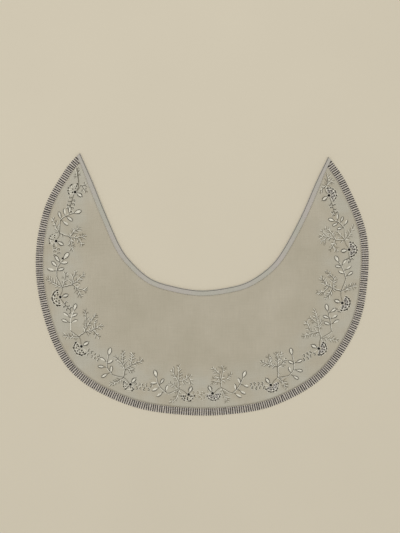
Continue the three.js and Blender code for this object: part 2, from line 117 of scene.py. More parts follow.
# Each spray: the direction from its knot to the outer edge in degrees from +X, the fan's size, turn and
# shift to the back, how long the eyelets of its rim are against their width, which share of its eyelets is
# worked, how large they are, whether it has a grey ground, the petal's turn to the back, the end of its curl
# on the chart, the shades of its coral and its curl, and whether the curl's stem is dark or pale.
SPRAYS = named(
    (
        "outward", "fan", "fan_turn", "fan_shift", "rim", "worked", "eyelet", "ground", "petal_turn", "curl",
        "coral_shade", "curl_shade", "curl_stem",
    ),
    {
        "left_1": (147.7, 1.02, 0, -1, 1.1, 0.65, 1.05, False, 0, (19, 5), "plain", "deep", "dark"),
        "left_2": (173.1, 0.95, 0, -1, 1.1, 0.75, 0.95, False, 22, (13.5, 2.5), "plain", "plain", "pale"),
        "left_3": (-168.1, 1.15, 0, 0.5, 1.9, 1, 1.04, False, -4, (15.5, 7.5), "plain", "deep", "dark"),
        "left_4": (-149.1, 1.1, 8, 1, 1.8, 1, 1.12, False, 0, (19, 9), "plain", "plain", "pale"),
        "left_5": (-111.3, 0.9, -15, -0.8, 1.4, 0.8, 1.08, False, 18, (19.5, 4), "plain", "plain", "pale"),
        "left_6": (-92.2, 0.95, 0, -1, 1.0, 0.85, 1.2, False, 18, (12.5, -0.5), "faded", "faint", "pale"),
        "right_1": (29.2, 1.03, 0, 0, 1.5, 1, 0.98, True, 8, (20, 4), "plain", "deep", "dark"),
        "right_2": (3.7, 1.05, 0, 0, 1.2, 1, 1.13, True, 8, (12, -0.5), "faded", "deep", "dark"),
        "right_3": (-19.0, 1.08, 0, 0, 1.4, 1, 1.1, True, 0, (9, 2), "plain", "plain", "pale"),
        "right_4": (-39.3, 1, -20, -0.8, 1.5, 1, 1.1, True, 14, (17, 6), "faded", "deep", "pale"),
        "right_5": (-72.3, 1, -10, -0.7, 1.5, 0.95, 0.93, True, 18, (19, 5), "plain", "deep", "pale"),
        "right_6": (-89.8, 0.97, -8, -1, 1.1, 0.95, 1.02, True, 28, (12, -3.5), "faded", "faint", "pale"),
    },
)

# How light each shade of the coral thread is against the plain one.
SHADES = {"deep": 0.55, "plain": 0.97, "faded": 1.45, "faint": 2.5}

# The coral of each spray: a trunk from root to fork, the stem that leads to the leaf sprig, boughs from the
# fork and side boughs from the root, each through its bends to its tip, fine branches from their own starts,
# and at the left tip a long dark line from the knot to the edging.
CORALS = named(
    ("root", "fork", "stem", "boughs", "side", "branches", "line"),
    {
        "left_1": (
            (-8.6, 1), (-9, 3), None, [[(-6.5, 8)], [(-12, 5.5)]], [], [[(-14, -5.3), (-20.5, -11.5)]],
            [(-1.5, 1), (-6, 0.3), (-11.5, -3), (-14, -5.3), (-19, -8.6), (-21.3, -11.4)],
        ),
        "left_2": (
            (-8, 2.5), (-5.5, 13), (-20, 1.8),
            [[(-2, 14.8), (6, 16)], [(-5, 20.5), (-8.5, 27.5)], [(-10.5, 16.5), (-15.5, 21)]],
            [[(-13, -0.8), (-21, -5)]], [[(-5, 20.5), (0, 26)]],
        ),
        "left_3": (
            (-9, 4), (-9.5, 14), (-20, 1),
            [[(-5.5, 18), (-1, 25)], [(-13, 22), (-17, 27)], [(-14.5, 16), (-20.5, 20)]],
            [[(-14, 7.6), (-21, 10)], [(-14.5, -2), (-20, -8.5)]], [[(-5.8, 17.5), (3, 20.3)]],
        ),
        "left_4": (
            (-9.5, 3), (-10.5, 10.5), (-18, -1),
            [[(-8.3, 17.5), (-7.5, 27)], [(-15.5, 18.5), (-19, 28)], [(-18, 17.2), (-28, 21.5)]],
            [[(-14, -4), (-18, -8.5)]], [[(-8.3, 17.5), (0, 20)], [(-8.6, 21), (-14, 24.7)]],
        ),
        "left_5": (
            (-9, 4), (-10, 12), (-19, 2.5),
            [[(-6, 18.5), (2, 26)], [(-14.5, 18), (-18.5, 27)], [(-15, 16.5), (-23, 20)]],
            [[(-13, -1.5), (-18, -7)]], [[(-6.3, 18.8), (-8.5, 28.5)], [(-10, 12), (-3, 14)]],
        ),
        "left_6": (
            (-9.5, 5), (-10.5, 13), (-20.5, 0),
            [[(-5, 13.6), (0.5, 18)], [(-9.6, 20), (-11, 27.5)], [(-13, 17), (-17, 22)]],
            [[(-14, 8.2), (-18, 10)], [(-13, -4.5), (-17, -8.5)]],
            [[(-15, 19.6), (-15.2, 25.5)], [(-1, 17), (1.5, 12)]],
        ),
        "right_1": (
            (-8.6, 0), (-9.8, -2.5), None, [[(-8, 5)], [(-14.5, -6.5), (-20.5, -8.5)]],
            [[(-12, -6.5), (-13.5, -11.5)]],
        ),
        "right_2": (
            (-9.5, 4), (-10.5, 13), (-20.5, 3.6),
            [[(-6, 15), (-1.5, 18.5)], [(-13.5, 20), (-15, 27)], [(-17, 16.5), (-22, 21)]],
            [[(-14, 7), (-18, 10.5)], [(-15, -0.8), (-23, -6)]],
            [[(-13.8, 21), (-19.5, 25.5)], [(-13.5, 20.5), (-9.5, 26.5)], [(-6, 15), (0, 12.5)]],
        ),
        "right_3": (
            (-10.5, 5), (-10.5, 14), (-23, 4.5),
            [[(-5.5, 14.6), (0, 17)], [(-11.5, 20), (-16.5, 27)], [(-20, 16), (-24.5, 24)]],
            [[(-17, -1), (-21, -6)]], [[(-10.8, 18), (-4, 20.7), (-2.5, 26)]],
        ),
        "right_4": (
            (-9.2, 5), (-12.5, 10), (-20, 1),
            [[(-7, 14.8), (0, 19)], [(-8, 17.5), (-12.5, 26)], [(-18.5, 17), (-26.5, 27)]],
            [[(-16, -3.5), (-18, -8.5)]], [[(-16, 14.5), (-23, 15)], [(-18.5, 17), (-18, 25.5)]],
        ),
        "right_5": (
            (-9, 5), (-12, 15), (-19, 3.5),
            [[(-6.5, 18.8), (1, 24)], [(-13.5, 20), (-15.5, 28)], [(-16.5, 16.5), (-21, 19)]],
            [[(-13.5, -1), (-14, -7.5)]], [[(-6, 19.2), (-6.5, 28)], [(-14, 21), (-19, 26)]],
        ),
        "right_6": (
            (-8.6, 6), (-8, 13), (-19, 0),
            [[(-7, 19), (-1, 24)], [(-9.4, 19), (-10, 25)], [(-14, 14.5), (-18, 19)]],
            [[(-12.5, -2), (-15, -7)]], [[(-8, 14.5), (-1.5, 15)], [(-8.2, 10), (-0.8, 12)]],
        ),
    },
)

# The leaf sprigs: the size of the leaves against the full one, the shade of the stem, where the stem starts
# and bends on its way to the top leaf, and the middle of each leaf, the top leaf first.
SPRIGS = named(
    ("size", "stem_shade", "start", "bend", "leaves"),
    {
        "left_2": (
            1, "dark", (-21.2, 1.8), (-26, 6.5),
            [(-31.5, 18), (-23.8, 10.8), (-19, 7.3), (-32.5, 9.8), (-30, 5.2), (-26.2, 0.5)],
        ),
        "left_3": (
            1.1, "dark", (-21.2, 1), (-29, 2.5),
            [(-39, 14.2), (-33, 10), (-27, 6), (-33.6, 1), (-28.8, -3.3), (-38, 5)],
        ),
        "left_4": (
            0.95, "pale", (-19.2, -1), (-29, 4.5),
            [(-37, 14.5), (-30.5, 9.5), (-25, 7), (-35, 3), (-30.5, -1)],
        ),
        "left_5": (
            1, "dark", (-20.2, 2.8), (-29, 7.5),
            [(-31.3, 23), (-35, 13.2), (-27.3, 13.7), (-33.6, 6), (-23.2, 6.5), (-27.5, -1.2)],
        ),
        "left_6": (
            0.95, "dark", (-21.7, 0.5), (-30, 7),
            [(-33.8, 19.5), (-27.2, 12), (-35.3, 10.2), (-33.8, 3.8), (-29.2, -1.2), (-22, 5.5)],
        ),
        "right_2": (
            0.82, "dark", (-21.7, 3.8), (-28, 8.5),
            [(-30.8, 15.8), (-26, 12.3), (-21.8, 8), (-33.5, 9.6), (-30.8, 5.2), (-27.5, 1.4)],
        ),
        "right_3": (
            0.92, "dark", (-24.2, 4.8), (-31, 9.5),
            [(-39.8, 19.3), (-33.3, 15.6), (-28.8, 10.4), (-39.5, 11.2), (-35.5, 5.5), (-30.3, 2.2)],
        ),
        "right_4": (
            0.92, "dark", (-21.2, 1.2), (-28, 8),
            [(-36.8, 19.6), (-29, 14.4), (-24.7, 9.4), (-34.8, 8.1), (-31.8, 3.6), (-38.8, 13)],
        ),
        "right_5": (
            0.9, "dark", (-20.2, 3.6), (-28, 8),
            [(-29.8, 25.6), (-26.3, 15.4), (-34.5, 14), (-31.8, 5), (-23, 8.6), (-26.3, -0.5)],
        ),
        "right_6": (
            0.9, "dark", (-20.2, 0.5), (-26, 6),
            [(-31.8, 19), (-26.7, 12.2), (-33.5, 7.5), (-30.3, 1), (-26, -2.3), (-22.6, 6.2)],
        ),
    },
)

# The sizes and colours that a maker would change.


def length(name, description, default):
    """A length setting in metres."""
    return FloatProperty(name=name, description=description, default=default, min=0.0, unit="LENGTH")


def colour(name, description, default):
    """A colour setting, as linear red, green and blue."""
    return FloatVectorProperty(
        name=name, description=description, default=default, subtype="COLOR", min=0, max=1
    )


class COLLAR_PG_cloth(PropertyGroup):
    """Settings of the muslin and the neck tape."""

    thickness: length("Cloth thickness", "Thickness of the muslin", 0.0004)
    tape_thickness: length("Tape thickness", "Thickness of each leaf of the tape", 0.0003)
    fold_depth: length("Fold depth", "How far the tape's fold rounds over at the neck edge", 0.0008)
    # Painted shade: the fine dark cord along the neck edge stands for the shade at the edge of the tape's
    # fold.
    shade_cord_width: length("Neck cord width", "Width of the fine cord along the neck edge", 0.0005)
    weave: length("Weave spacing", "Distance between two warp threads", 0.00037)
    muslin: colour("Muslin", "Main colour of the muslin", (0.404, 0.363, 0.273))
    muslin_pale: colour("Worn muslin", "Paler patches of the muslin", (0.450, 0.405, 0.312))
    muslin_cool: colour("Cool muslin", "Cooler patches under the border", (0.456, 0.441, 0.369))
    tape: colour("Tape", "Lilac grey of the silk tape", (0.440, 0.402, 0.357))
    tape_faded: colour("Faded tape", "Greener, faded patches of the tape", (0.418, 0.404, 0.334))
    # Painted shade: this dark colour of the neck cord stands for the shade at the edge of the tape's fold.
    cord: colour("Neck cord", "Colour of the cord at the neck edge", (0.120, 0.109, 0.090))


class COLLAR_PG_edging(PropertyGroup):
    """Settings of the ladder edging."""

    bars: IntProperty(name="Bars", description="How many wrapped bars cross the edging", default=332, min=10)
    lobes: IntProperty(name="Lobes", description="How many wraps swell on each bar", default=4, min=1)
    bar_width: length("Bar width", "Width of a wrapped bar", 0.00093)
    rail_width: length("Rail width", "Width of a lengthwise rail", 0.0005)
    start: length("Start", "How far from the tip the first bar is", 0.004179)
    bar: colour("Bar thread", "Colour of the dark bars", (0.018, 0.014, 0.013))
    rail: colour("Rail thread", "Colour of the pale rails", (0.740, 0.685, 0.655))


class COLLAR_PG_embroidery(PropertyGroup):
    """Settings of the embroidered sprays."""

    thread: length("Thread", "Width of the chain stitch thread", 0.0002)
    link: length("Chain link", "Length of one chain stitch", 0.0012)
    chain_width: length("Chain width", "Width of the chain stitch from thread to thread", 0.00032)
    bough_width: length("Bough width", "Width of a coral bough where it leaves the trunk", 0.00054)
    twig_width: length("Twig width", "Width of a twig where it leaves its bough", 0.00041)
    # Painted highlight: the pale threads beside the coral and the curls stand for the light on the raised
    # lines.
    highlight_width: length("Pale thread width", "Width of the pale threads beside the coral", 0.00052)
    highlight_shift: length("Pale thread distance", "How far the pale threads lie from the dark ones", 0.00065)
    leaf_length: length("Leaf length", "Length of a satin leaf", 0.0057)
    leaf_width: length("Leaf width", "Width of a satin leaf", 0.00205)
    petal_length: length("Petal length", "Length of the flower's petal", 0.0054)
    petal_width: length("Petal width", "Width of the flower's petal", 0.0022)
    outline_width: length("Outline width", "Width of the thread round leaves and petals", 0.0005)
    knot: length("Knot width", "Width of the dark knot", 0.0024)
    white: colour("White thread", "Colour of leaves and petals", (0.782, 0.742, 0.620))
    outline: colour("Outline thread", "Colour of outlines round leaves and petals", (0.048, 0.040, 0.025))
    coral: colour("Coral thread", "Colour of the coral and the curls", (0.162, 0.142, 0.098))
    highlight: colour("Pale line thread", "Colour of the pale lines beside the coral", (0.830, 0.793, 0.673))
    ground: colour("Flower ground", "Colour of the grey ground in some of the fans", (0.352, 0.322, 0.290))
    dark: colour("Dark thread", "Colour of the eyelets", (0.024, 0.0185, 0.009))
    black: colour("Knot thread", "Colour of the knots", (0.012, 0.0095, 0.006))


class COLLAR_PG_stage(PropertyGroup):
    """Settings of the floor, the lights and the camera."""

    floor: colour("Floor", "Colour of the pale floor", (0.604, 0.545, 0.424))
    sky: FloatProperty(name="Sky strength", description="Strength of the even light", default=0.735, min=0)
    lamp: FloatProperty(name="Lamp power", description="Power of the large soft lamp", default=14.5, min=0)
    camera_height: length("Camera height", "How far above the floor the camera is", 2.0)
    field: length("Field height", "Height of the part of the floor that the camera sees", 0.4797)


# Edges and the lie of the cloth.


def smoothstep(value, low, high):
    """0 below low, 1 above high and a smooth rise between."""
    t = np.clip((value - low) / (high - low), 0, 1)
    return t * t * (3 - 2 * t)


def unit(vectors):
    """Vectors of the same directions with a length of one."""
    vectors = np.asarray(vectors, float)
    return vectors / np.maximum(np.linalg.norm(vectors, axis=-1, keepdims=True), 1e-12)


def beside(vectors):
    """The directions at the left of flat vectors."""
    vectors = np.asarray(vectors, float)
    return unit(np.stack([-vectors[..., 1], vectors[..., 0]], -1))


def lengths_along(path):
    """How far along a path each of its places is."""
    return np.concatenate([[0.0], np.cumsum(np.linalg.norm(np.diff(path, axis=0), axis=1))])


class EdgeLine:
    """A smooth edge line through the given places, with the cloth on one side of it."""

    def __init__(self, given, cloth_side, steps=220, coarse_places=900):
        given = np.array(given)
        run = np.vstack([2 * given[0] - given[1], given, 2 * given[-1] - given[-2]])
        t = np.linspace(0, 1, steps, endpoint=False)[:, None]
        pieces = []
        for before, start, end, after in zip(run[:-3], run[1:-2], run[2:-1], run[3:]):
            leave, arrive = (end - before) / 2, (after - start) / 2
            pieces.append(
                (2 * t**3 - 3 * t**2 + 1) * start
                + (t**3 - 2 * t**2 + t) * leave
                + (-2 * t**3 + 3 * t**2) * end
                + (t**3 - t**2) * arrive
            )
        self.line = np.vstack([*pieces, given[-1:]])
        self.lengths = lengths_along(self.line)
        self.length = self.lengths[-1]
        self.tangents = unit(np.gradient(self.line, self.lengths, axis=0))
        self.cloth_side = cloth_side
        every = max(1, len(self.line) // coarse_places)
        self.coarse, self.coarse_tangents = self.line[::every], self.tangents[::every]

    def place(self, along, inward):
        """Places at distances along the edge and inward from it. Past the ends it runs straight on."""
        along, inward = np.broadcast_arrays(np.asarray(along, float), np.asarray(inward, float))
        inside = np.clip(along, 0, self.length)
        x, y = (np.interp(inside, self.lengths, self.line[:, k]) for k in (0, 1))
        tx, ty = (np.interp(inside, self.lengths, self.tangents[:, k]) for k in (0, 1))
        past, inward = along - inside, inward * self.cloth_side
        return np.stack([x + tx * past - ty * inward, y + ty * past + tx * inward], axis=-1)

    def distance(self, places, at_once=2000):
        """The shortest distance from each place to the edge."""
        flat = np.reshape(places, (-1, 2))
        found = np.empty(len(flat))
        for start in range(0, len(flat), at_once):
            part = slice(start, start + at_once)
            gaps = flat[part, None] - self.coarse[None]
            found[part] = np.sqrt((gaps**2).sum(-1).min(1))
        return found.reshape(np.shape(places)[:-1])

    def depth(self, places):
        """How far on the cloth's side of the edge each place is. It is below zero on the other side."""
        gaps = places[:, None] - self.coarse[None]
        nearest = np.argmin((gaps**2).sum(-1), 1)
        gap, tangent = gaps[np.arange(len(places)), nearest], self.coarse_tangents[nearest]
        return self.cloth_side * (tangent[:, 0] * gap[:, 1] - tangent[:, 1] * gap[:, 0])


class ClothLie:
    """How high the underside of the cloth lies, looked up on a millimetre grid."""

    def __init__(self, outer, neck, spacing=0.001, margin=0.012):
        self.low, self.spacing = outer.line.min(0) - margin, spacing
        high = outer.line.max(0) + margin
        axes = [np.arange(self.low[k], high[k], spacing) for k in (0, 1)]
        places = np.stack(np.meshgrid(*axes, indexing="ij"), -1)
        from_neck, from_outer = neck.distance(places), outer.distance(places)
        lift = CLOTH_LIFT * (1 - smoothstep(from_neck, LIFT_START, LIFT_END))
        openness = smoothstep(from_outer, SWELL_START, SWELL_FULL)
        openness *= smoothstep(from_neck, LIFT_END, SWELL_FULL)
        wave = 0.5 - 0.5 * np.cos(SWELLS_PER_TURN * np.arctan2(places[..., 1], places[..., 0]))
        self.grid = lift + SWELL * openness * wave

    def height(self, places):
        """The height of the underside of the cloth at each place."""
        spot = (np.asarray(places) - self.low) / self.spacing
        cell = np.clip(np.floor(spot).astype(int), 0, np.array(self.grid.shape) - 2)
        fx, fy = np.moveaxis(np.clip(spot - cell, 0, 1), -1, 0)
        i, j = np.moveaxis(cell, -1, 0)
        near = self.grid[i, j] * (1 - fy) + self.grid[i, j + 1] * fy
        far = self.grid[i + 1, j] * (1 - fy) + self.grid[i + 1, j + 1] * fy
        return near * (1 - fx) + far * fx


OUTER = EdgeLine(OUTER_EDGE, 1)
NECK = EdgeLine(NECK_EDGE, -1)
LIE = ClothLie(OUTER, NECK)


def raised(places, height):
    """Flat places with a height given to each."""
    places = np.asarray(places, float)
    return np.concatenate([places, np.broadcast_to(height, places.shape[:-1])[..., None]], -1)


def on_cloth(places, lift):
    """Flat places raised to the top of the cloth plus a lift."""
    return raised(places, LIE.height(places) + bpy.context.scene.collar_cloth.thickness + lift)


# Meshes from arrays.


class Work:
    """Collects closed tubes as arrays and makes one mesh of them."""

    def __init__(self):
        self.corners, self.faces, self.finishes, self.count = [], [], [], 0

    def tube(self, rings, finish, closed=False):
        """Adds tubes through rings of corners, of shape (tubes, rings, corners, 3), with flat ends."""
        tubes, places, sides, _ = rings.shape
        last = places if closed else places - 1
        t, p, k = np.meshgrid(np.arange(tubes), np.arange(last), np.arange(sides), indexing="ij")
        here, there = (t * places + p) * sides, (t * places + (p + 1) % places) * sides
        turned = (k + 1) % sides
        faces = [np.stack([here + k, there + k, there + turned, here + turned], -1)]
        if not closed:
            first = np.arange(tubes)[:, None, None] * places * sides
            flat_end = np.array([(j, j + 1, sides - 2 - j, sides - 1 - j) for j in range(sides // 2 - 1)])
            faces += [first + flat_end, first + (places - 1) * sides + flat_end[:, ::-1]]
        faces = np.vstack([part.reshape(-1, 4) for part in faces])
        self.corners.append(rings.reshape(-1, 3))
        self.faces.append(faces + self.count)
        self.finishes.append(np.full(len(faces), finish, np.int32))
        self.count += rings.size // 3

    def strand(self, paths, width, height, finish, sides=6, closed=False):
        """Adds round or flattened strands along one path or several, of shape (strands, places, 3)."""
        paths = np.asarray(paths, float)
        if paths.ndim == 2:
            paths = paths[None]
        if closed:
            tangent = unit(np.roll(paths, -1, 1) - np.roll(paths, 1, 1))
        else:
            tangent = unit(np.gradient(paths, axis=1))
        across = unit(np.cross(tangent, (0.0, 0.0, 1.0)))
        over = np.cross(across, tangent)
        rings = paths[:, :, None]
        turn = 2 * np.pi * np.arange(sides)[:, None] / sides
        for reach, direction, size in ((np.cos(turn), across, width), (np.sin(turn), over, height)):
            half = np.broadcast_to(np.asarray(size) / 2, paths.shape[:2])[..., None, None]
            rings = rings + reach * half * direction[:, :, None]
        self.tube(rings, finish, closed)

    def piece(self, name, materials, slot, *nodes):
        """Makes the mesh object, puts it on the collar's body and lets it stand for CAD nodes."""
        mesh = bpy.data.meshes.new(name)
        mesh.from_pydata(np.vstack(self.corners), (), np.vstack(self.faces), shade_flat=False)
        for material in materials:
            mesh.materials.append(material)
        mesh.polygons.foreach_set("material_index", np.concatenate(self.finishes))
        made = bpy.data.objects.new(name, mesh)
        bpy.context.scene.collection.objects.link(made)
        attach(made, BODY)
        if nodes:
            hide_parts(*nodes)
        return made


# Finishes.


class Nodes:
    """Builds the node network of one material."""

    def __init__(self, name):
        self.material = bpy.data.materials.new(name)
        self.material.use_nodes = True
        self.tree = self.material.node_tree
        self.shader = self.tree.nodes["Principled BSDF"]
        self.place = self.add("ShaderNodeTexCoord").outputs["Object"]

    def add(self, kind, *inputs, **settings):
        """Adds a node. Its settings are properties, or inputs by name. Other inputs come in their order."""
        node = self.tree.nodes.new(kind)
        for socket, value in zip(node.inputs, inputs):
            self.feed(socket, value)
        for name, value in settings.items():
            if hasattr(node, name):
                setattr(node, name, value)
            else:
                self.feed(node.inputs[name.replace("_", " ")], value)
        return node

    def feed(self, socket, value):
        """Links a socket to an output, or sets its value."""
        if isinstance(value, bpy.types.NodeSocket):
            self.tree.links.new(value, socket)
        else:
            socket.default_value = value

    def patches(self, scale, low, high, detail=3.0):
        """Patches of noise, from 0 at the low level to 1 at the high one."""
        return self.ranged(self.noise(self.place, scale, detail), low, high)

    def noise(self, place, scale, detail):
        """A noise value at each place."""
        node = self.add("ShaderNodeTexNoise", Vector=place, Scale=scale, Detail=detail, Roughness=0.55)
        return node.outputs["Fac"]

    def slubs(self, *stretch):
        """Noise drawn out along X or Y, as the thicker runs of a thread are."""
        place = self.add("ShaderNodeMapping", Vector=self.place, Scale=stretch).outputs["Vector"]
        return self.noise(place, 1.0, 2.0)

    def bands(self, direction, spacing, distortion):
        """Bands across a direction, one to each spacing."""
        wave_share = 2 * math.pi / 20
        return self.add(
            "ShaderNodeTexWave",
            bands_direction=direction,
            Vector=self.place,
            Scale=wave_share / spacing,
            Distortion=distortion,
        ).outputs["Fac"]

    def math(self, operation, first, second):
        """One sum on two values."""
        return self.add("ShaderNodeMath", first, second, operation=operation).outputs[0]

    def ranged(self, value, low, high):
        """A value moved to run from 0 at the low level to 1 at the high one."""
        return self.add("ShaderNodeMapRange", value, low, high).outputs["Result"]

    def mixed(self, factor, first, second):
        """A colour between two colours."""
        node = self.add("ShaderNodeMix", data_type="RGBA", Factor=factor, A=first, B=second)
        return next(socket for socket in node.outputs if socket.type == "RGBA")

    def tinted(self, base, mask, share, tint):
        """A base colour with a share of another colour where a mask is."""
        return self.mixed(self.math("MULTIPLY", mask, share), base, tint)

    def bump(self, height, distance, strength):
        """Sets the surface's relief from a height value."""
        node = self.add("ShaderNodeBump", Height=height, Distance=distance, Strength=strength)
        self.feed(self.shader.inputs["Normal"], node.outputs["Normal"])

    def finish(self, base, roughness, sheen=0.0):
        """Sets the shader's colour and gloss."""
        looks = {"Base Color": base, "Roughness": roughness, "Sheen Weight": sheen}
        looks |= {"Sheen Roughness": 0.5, "Specular IOR Level": 0.2}
        for name, value in looks.items():
            self.feed(self.shader.inputs[name], value)
        return self.material


def solid_colour(values, factor=1.0):
    """A colour setting as red, green, blue and alpha, lightened or darkened by a factor."""
    return (*(min(1.0, v * factor) for v in values), 1.0)


def muslin_finish():
    """Fine plain-woven muslin with slubs and a mottled, slightly worn tone."""
    cloth = bpy.context.scene.collar_cloth
    nodes = Nodes("greige muslin")
    worn = nodes.patches(22.0, 0.35, 0.68, 4.0)
    base = nodes.mixed(worn, solid_colour(cloth.muslin), solid_colour(cloth.muslin_pale))
    border = nodes.add("ShaderNodeAttribute", attribute_name="border").outputs["Fac"]
    cool = nodes.math("MULTIPLY", border, nodes.patches(38.0, 0.38, 0.62, 2.0))
    base = nodes.tinted(base, cool, 0.6, solid_colour(cloth.muslin_cool))
    across, along = 1300.0, 60.0
    slubs = nodes.math("ADD", nodes.slubs(across, along, 1.0), nodes.slubs(along, across, 1.0))
    slubs = nodes.ranged(slubs, 0.8, 1.3)
    base = nodes.tinted(base, slubs, 0.22, solid_colour(cloth.muslin, 0.72))
    weave = nodes.math("MULTIPLY", nodes.bands("X", cloth.weave, 0.4), nodes.bands("Y", cloth.weave, 0.4))
    base = nodes.tinted(base, weave, 0.03, solid_colour(cloth.muslin_pale, 1.15))
    nodes.bump(nodes.math("ADD", nodes.math("MULTIPLY", weave, 0.6), slubs), 0.0001, 0.35)
    return nodes.finish(base, 0.92, 0.15)


def tape_finish():
    """Soft silk tape: faded in patches, with fine cross ribs and a low sheen."""
    cloth = bpy.context.scene.collar_cloth
    nodes = Nodes("lilac grey silk tape")
    faded = nodes.patches(28.0, 0.40, 0.62)
    base = nodes.mixed(faded, solid_colour(cloth.tape), solid_colour(cloth.tape_faded))
    streaks = nodes.patches(900.0, 0.4, 0.75, 2.0)
    base = nodes.tinted(base, streaks, 0.25, solid_colour(cloth.tape, 0.8))
    rib_spacing = 0.00035
    ribs = nodes.math("ADD", *(nodes.bands(direction, rib_spacing, 0.6) for direction in "XY"))
    nodes.bump(nodes.math("ADD", ribs, streaks), 0.00008, 0.5)
    return nodes.finish(base, 0.55, 0.35)


def thread_finish(name, values, roughness=0.75, sheen=0.2, twist=0.0004):
    """Spun thread: twisted plies and small changes of tone along it."""
    nodes = Nodes(name)
    tone = nodes.patches(700.0, 0.3, 0.75)
    base = nodes.mixed(tone, solid_colour(values, 0.8), solid_colour(values, 1.18))
    plies = nodes.bands("DIAGONAL", twist, 1.5)
    base = nodes.tinted(base, plies, 0.18, solid_colour(values, 0.6))
    nodes.bump(nodes.math("ADD", plies, tone), 0.00008, 0.6)
    return nodes.finish(base, roughness, sheen)


def floor_finish():
    """A plain pale matt floor with a barely visible tone."""
    floor = bpy.context.scene.collar_stage.floor
    nodes = Nodes("pale floor")
    tone = nodes.patches(6.0, 0.3, 0.7)
    return nodes.finish(nodes.mixed(tone, solid_colour(floor, 0.985), solid_colour(floor, 1.015)), 0.95)


# Embroidery on the chart.

# The coral and the curls keep these gaps to the tape and the edging. They keep clear of a leaf, the petal and
# the fan by a radius round the middle of each. The petal's middle is this far along the petal, the fan's
# this far inward.
TAPE_GAP, EDGING_GAP = 0.0006, 0.0012
LEAF_ROOM, PETAL_ROOM, FAN_ROOM = 0.0024, 0.0028, 0.0067
PETAL_MIDDLE, FAN_MIDDLE = 0.0047, -0.0022

# One link of the chain stitch: how far along it and across it each place of its loop is.
LINK_SHAPE = (
    (0.0, 0.0), (0.3, 0.34), (0.7, 0.5), (1.05, 0.34), (1.2, 0.0), (1.05, -0.34), (0.7, -0.5), (0.3, -0.34),
)

# Materials of the coral and the curls: the dark coral thread, and the pale thread of painted highlights.
CORAL, PALE = 0, 1


def charted(place):
    """A place on the chart in metres."""
    return np.array(place, float) * SQUARE


def turned(vector, angle):
    """A flat vector turned by an angle in radians."""
    c, s = math.cos(angle), math.sin(angle)
    return np.array((c * vector[0] - s * vector[1], s * vector[0] + c * vector[1]))


def softened(path, times=2):
    """A path with its corners cut, so that it bends softly."""
    path = np.asarray(path, float)
    for _ in range(times):
        near = path[:-1] * 0.75 + path[1:] * 0.25
        far = path[:-1] * 0.25 + path[1:] * 0.75
        path = np.vstack([path[:1], np.stack([near, far], 1).reshape(-1, 2), path[-1:]])
    return path


def even_steps(path, spacing):
    """The path again, with even steps of about the given spacing."""
    path = np.asarray(path, float)
    lengths = lengths_along(path)
    at = np.linspace(0, lengths[-1], max(2, int(round(lengths[-1] / spacing)) + 1))
    return np.stack([np.interp(at, lengths, path[:, k]) for k in (0, 1)], -1)


class Spray:
    """One spray of the border: turns places on its chart into places on the cloth."""

    def __init__(self, name):
        self.name, self.look = name, SPRAYS[name]
        low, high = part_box(f"knot_{name}")
        self.knot = np.array(((low.x + high.x) / 2, (low.y + high.y) / 2))
        angle = math.radians(self.look["outward"])
        side = 1 if name.startswith("left") else -1
        outward = np.array((math.cos(angle), math.sin(angle)))
        self.along = np.array((-side * outward[1], side * outward[0]))
        self.inward = -outward
        self.draw = random.Random(list(SPRAYS).index(name) * 17 + 5)
        turn = math.radians(self.look["petal_turn"])
        self.petal = np.array((math.sin(turn), math.cos(turn)))
        self.taken = []
        leaves = SPRIGS[name]["leaves"] if name in SPRIGS else ()
        self.worked = [(charted(leaf), LEAF_ROOM) for leaf in leaves]
        self.worked.append((self.petal * PETAL_MIDDLE, PETAL_ROOM))
        fan_middle = np.array((self.look["fan_shift"] * SQUARE, FAN_MIDDLE))
        self.worked.append((fan_middle, FAN_ROOM * self.look["fan"]))

    def put(self, places, lift=0.0):
        """Chart places in metres, of shape (..., 2), laid on the cloth with a lift."""
        places = np.asarray(places, float)
        return on_cloth(self.knot + places[..., :1] * self.along + places[..., 1:] * self.inward, lift)

    def clear(self, places):
        """Whether all chart places are clear of the tape and the edging."""
        flat = self.put(places)[..., :2]
        to_neck, to_outer = NECK.distance(flat).min(), OUTER.distance(flat).min()
        return to_neck > TAPE_WIDTH + TAPE_GAP and to_outer > EDGING_WIDTH + EDGING_GAP

    def open(self, places):
        """Whether all chart places are clear of this spray's leaves, petal and fan."""
        places = np.atleast_2d(places)
        return all(np.linalg.norm(places - middle, axis=1).min() > room for middle, room in self.worked)

    def bare(self, places, room):
        """Whether all chart places are on bare cloth, with room to the last lines worked."""
        if not (self.clear(places) and self.open(places)):
            return False
        gaps = places[:, None] - np.vstack(self.taken)[None]
        return np.linalg.norm(gaps, axis=2).min() > room

    def kinked(self, *squares):
        """A line through squares of the chart that kinks slightly, left and right, every few squares."""
        places = charted(squares)
        path = [places[0]]
        for start, end in zip(places, places[1:]):
            run = end - start
            count = max(1, int(round(np.linalg.norm(run) / (SQUARE * 2.5))))
            side = self.draw.choice((-1, 1)) * beside(run)
            for number in range(1, count):
                side = -side
                path.append(start + run * number / count + side * SQUARE * self.draw.uniform(0.12, 0.38))
            path.append(end)
        return np.array(path)


def chain_line(work, spray, path, finish):
    """Chain stitch along a chart path: each link is a drop-shaped loop that holds the next."""
    stitches = bpy.context.scene.collar_embroidery
    thread = stitches.thread
    ends = even_steps(path, stitches.link)
    run = np.diff(ends, axis=0)[:, None]
    along, across = np.array(LINK_SHAPE).T[:, None, :, None]
    links = ends[:-1, None] + along * run + across * stitches.chain_width * beside(run)
    lift = thread * (0.5 + 0.35 * along[..., 0])
    work.strand(spray.put(links, lift), thread, thread, finish, sides=4, closed=True)


def plain_line(work, spray, path, finish, width, taper=0.65):
    """A couched thread along a chart path, finer at its end."""
    widths = width * np.linspace(1, taper, len(path))
    work.strand(spray.put(path, 0.4 * width), widths, widths * 0.8, finish)


def highlight_line(work, spray, path, width, shift):
    """A pale thread close beside a dark one, a painted highlight along its raised edge."""
    plain_line(work, spray, path + shift * beside(path[-1] - path[0]), PALE, width, taper=0.85)


